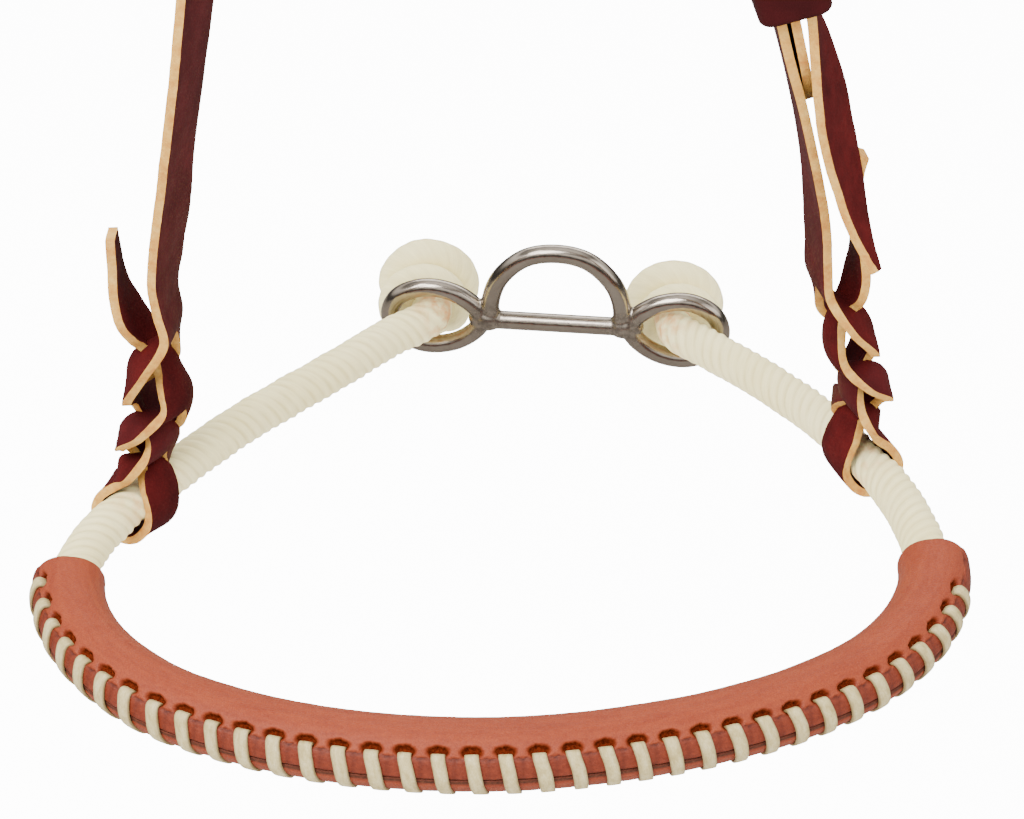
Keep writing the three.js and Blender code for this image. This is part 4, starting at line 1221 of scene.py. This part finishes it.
register(turned("screw_post_turned", POST), ["screw_post"], "headstall")
screw_cap = turned("screw_cap_turned", CAP)
cut(screw_cap, [slot_cutter()])
register(screw_cap, ["screw_cap"], "headstall")

# any frame node still shown gets its own material
for name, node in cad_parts.items():
    if not node.hide_render:
        node.data.materials.clear()
        node.data.materials.append(GRAIN if name == "latigo" or "strap" in name else NICKEL)

# ------------------------------------------------------------------ floor, world, lights, camera
FLOOR_Z, FLOOR_HALF = -150.0, 2600.0
BACKDROP = 11.0                      # what the camera sees of floor and world, so no horizon
# height from 0 straight down to 1 straight up, brightness mirrored there
REFLECTIONS = [(0.0, .30), (.46, .22), (.50, .05), (.60, .10), (.68, .9), (.78, 1.6), (.84, .25),
               (.90, .5), (1.0, 1.5)]


def floor_material():
    """White to the camera, dark to reflections, plain to all other rays."""
    m = Mat("studio_floor")
    color = m.mix(m.noise(scale=3, detail=2), srgb(246, 246, 245), srgb(250, 250, 249))
    m.surface(color, roughness=0.9, specular=0.1)
    plain = m.shader.outputs[0]
    rays = m.add("ShaderNodeLightPath").outputs
    dark = m.add("ShaderNodeBsdfDiffuse")
    dark.inputs["Color"].default_value = (0.26, 0.245, 0.23, 1)
    glow = m.add("ShaderNodeEmission")
    glow.inputs["Strength"].default_value = BACKDROP
    glowing = m.add("ShaderNodeAddShader")
    m.feed(glowing.inputs[0], plain)
    m.feed(glowing.inputs[1], glow.outputs[0])
    seen = mix_shaders(m.tree, rays["Is Camera Ray"], plain, glowing.outputs[0])
    result = mix_shaders(m.tree, rays["Is Glossy Ray"], seen, dark.outputs[0])
    m.feed(m.tree.nodes["Material Output"].inputs["Surface"], result)
    return m.material


def build_world():
    """Even white light; shiny things mirror a dark studio with bright bands."""
    world = bpy.data.worlds.new("studio")
    bpy.context.scene.world = world
    world.use_nodes = True
    tree = world.node_tree
    new, link = tree.nodes.new, tree.links.new
    ambient = tree.nodes["Background"]
    ambient.inputs["Color"].default_value = WHITE
    ambient.inputs["Strength"].default_value = 1.8
    rays = new("ShaderNodeLightPath").outputs
    split = new("ShaderNodeSeparateXYZ")
    link(new("ShaderNodeTexCoord").outputs["Generated"], split.inputs[0])
    height = new("ShaderNodeMath")
    height.operation = "MULTIPLY_ADD"
    height.inputs[1].default_value = .5
    height.inputs[2].default_value = .5
    link(split.outputs["Z"], height.inputs[0])
    bands = new("ShaderNodeValToRGB")
    fill_ramp(bands, [(at, (v, v * .985, v * .96, 1)) for at, v in REFLECTIONS])
    link(height.outputs[0], bands.inputs["Fac"])
    mirrored = new("ShaderNodeBackground")
    mirrored.inputs["Strength"].default_value = 1.25
    link(bands.outputs["Color"], mirrored.inputs["Color"])
    backdrop = new("ShaderNodeBackground")
    backdrop.inputs["Strength"].default_value = BACKDROP
    unseen = mix_shaders(tree, rays["Is Glossy Ray"], ambient.outputs[0], mirrored.outputs[0])
    result = mix_shaders(tree, rays["Is Camera Ray"], unseen, backdrop.outputs[0])
    link(result, tree.nodes["World Output"].inputs["Surface"])


def area(name, place, target, size, power):
    """An area light aimed at target; size is in metres."""
    light = bpy.data.lights.new(name, "AREA")
    light.shape = "RECTANGLE"
    light.size, light.size_y = size
    light.energy = power
    light.color = (1, 1, 1)
    obj = link_object(name, light)
    obj.location = Vector(to_metres(place))
    aim = Vector(to_metres(target)) - obj.location
    obj.rotation_mode = "QUATERNION"
    obj.rotation_quaternion = aim.to_track_quat("-Z", "Y")


def build_camera():
    lens = bpy.data.cameras.new("camera")
    lens.lens = 83.345
    lens.sensor_width = 36
    lens.clip_start, lens.clip_end = 0.01, 50
    camera = link_object("camera", lens)
    camera.location = Vector(to_metres([0.0, -427.0, 327.66]))
    camera.rotation_euler = (55 * RAD, 0, 0)
    bpy.context.scene.camera = camera


corners = [(x * FLOOR_HALF, y * FLOOR_HALF, FLOOR_Z) for x, y in ((-1, -1), (1, -1), (1, 1), (-1, 1))]
make("floor", corners, [(0, 1, 2, 3)], [floor_material()])
build_world()
area("key", place=(-260, -330, 620), target=(0, 0, 20), size=(0.42, 0.42), power=8.6)
area("fill", place=(520, -260, 360), target=(0, 0, 40), size=(0.5, 0.5), power=1.2)
area("rim", place=(60, 560, 420), target=(0, 20, 60), size=(0.7, 0.3), power=2.0)
build_camera()

bpy.context.view_layer.update()
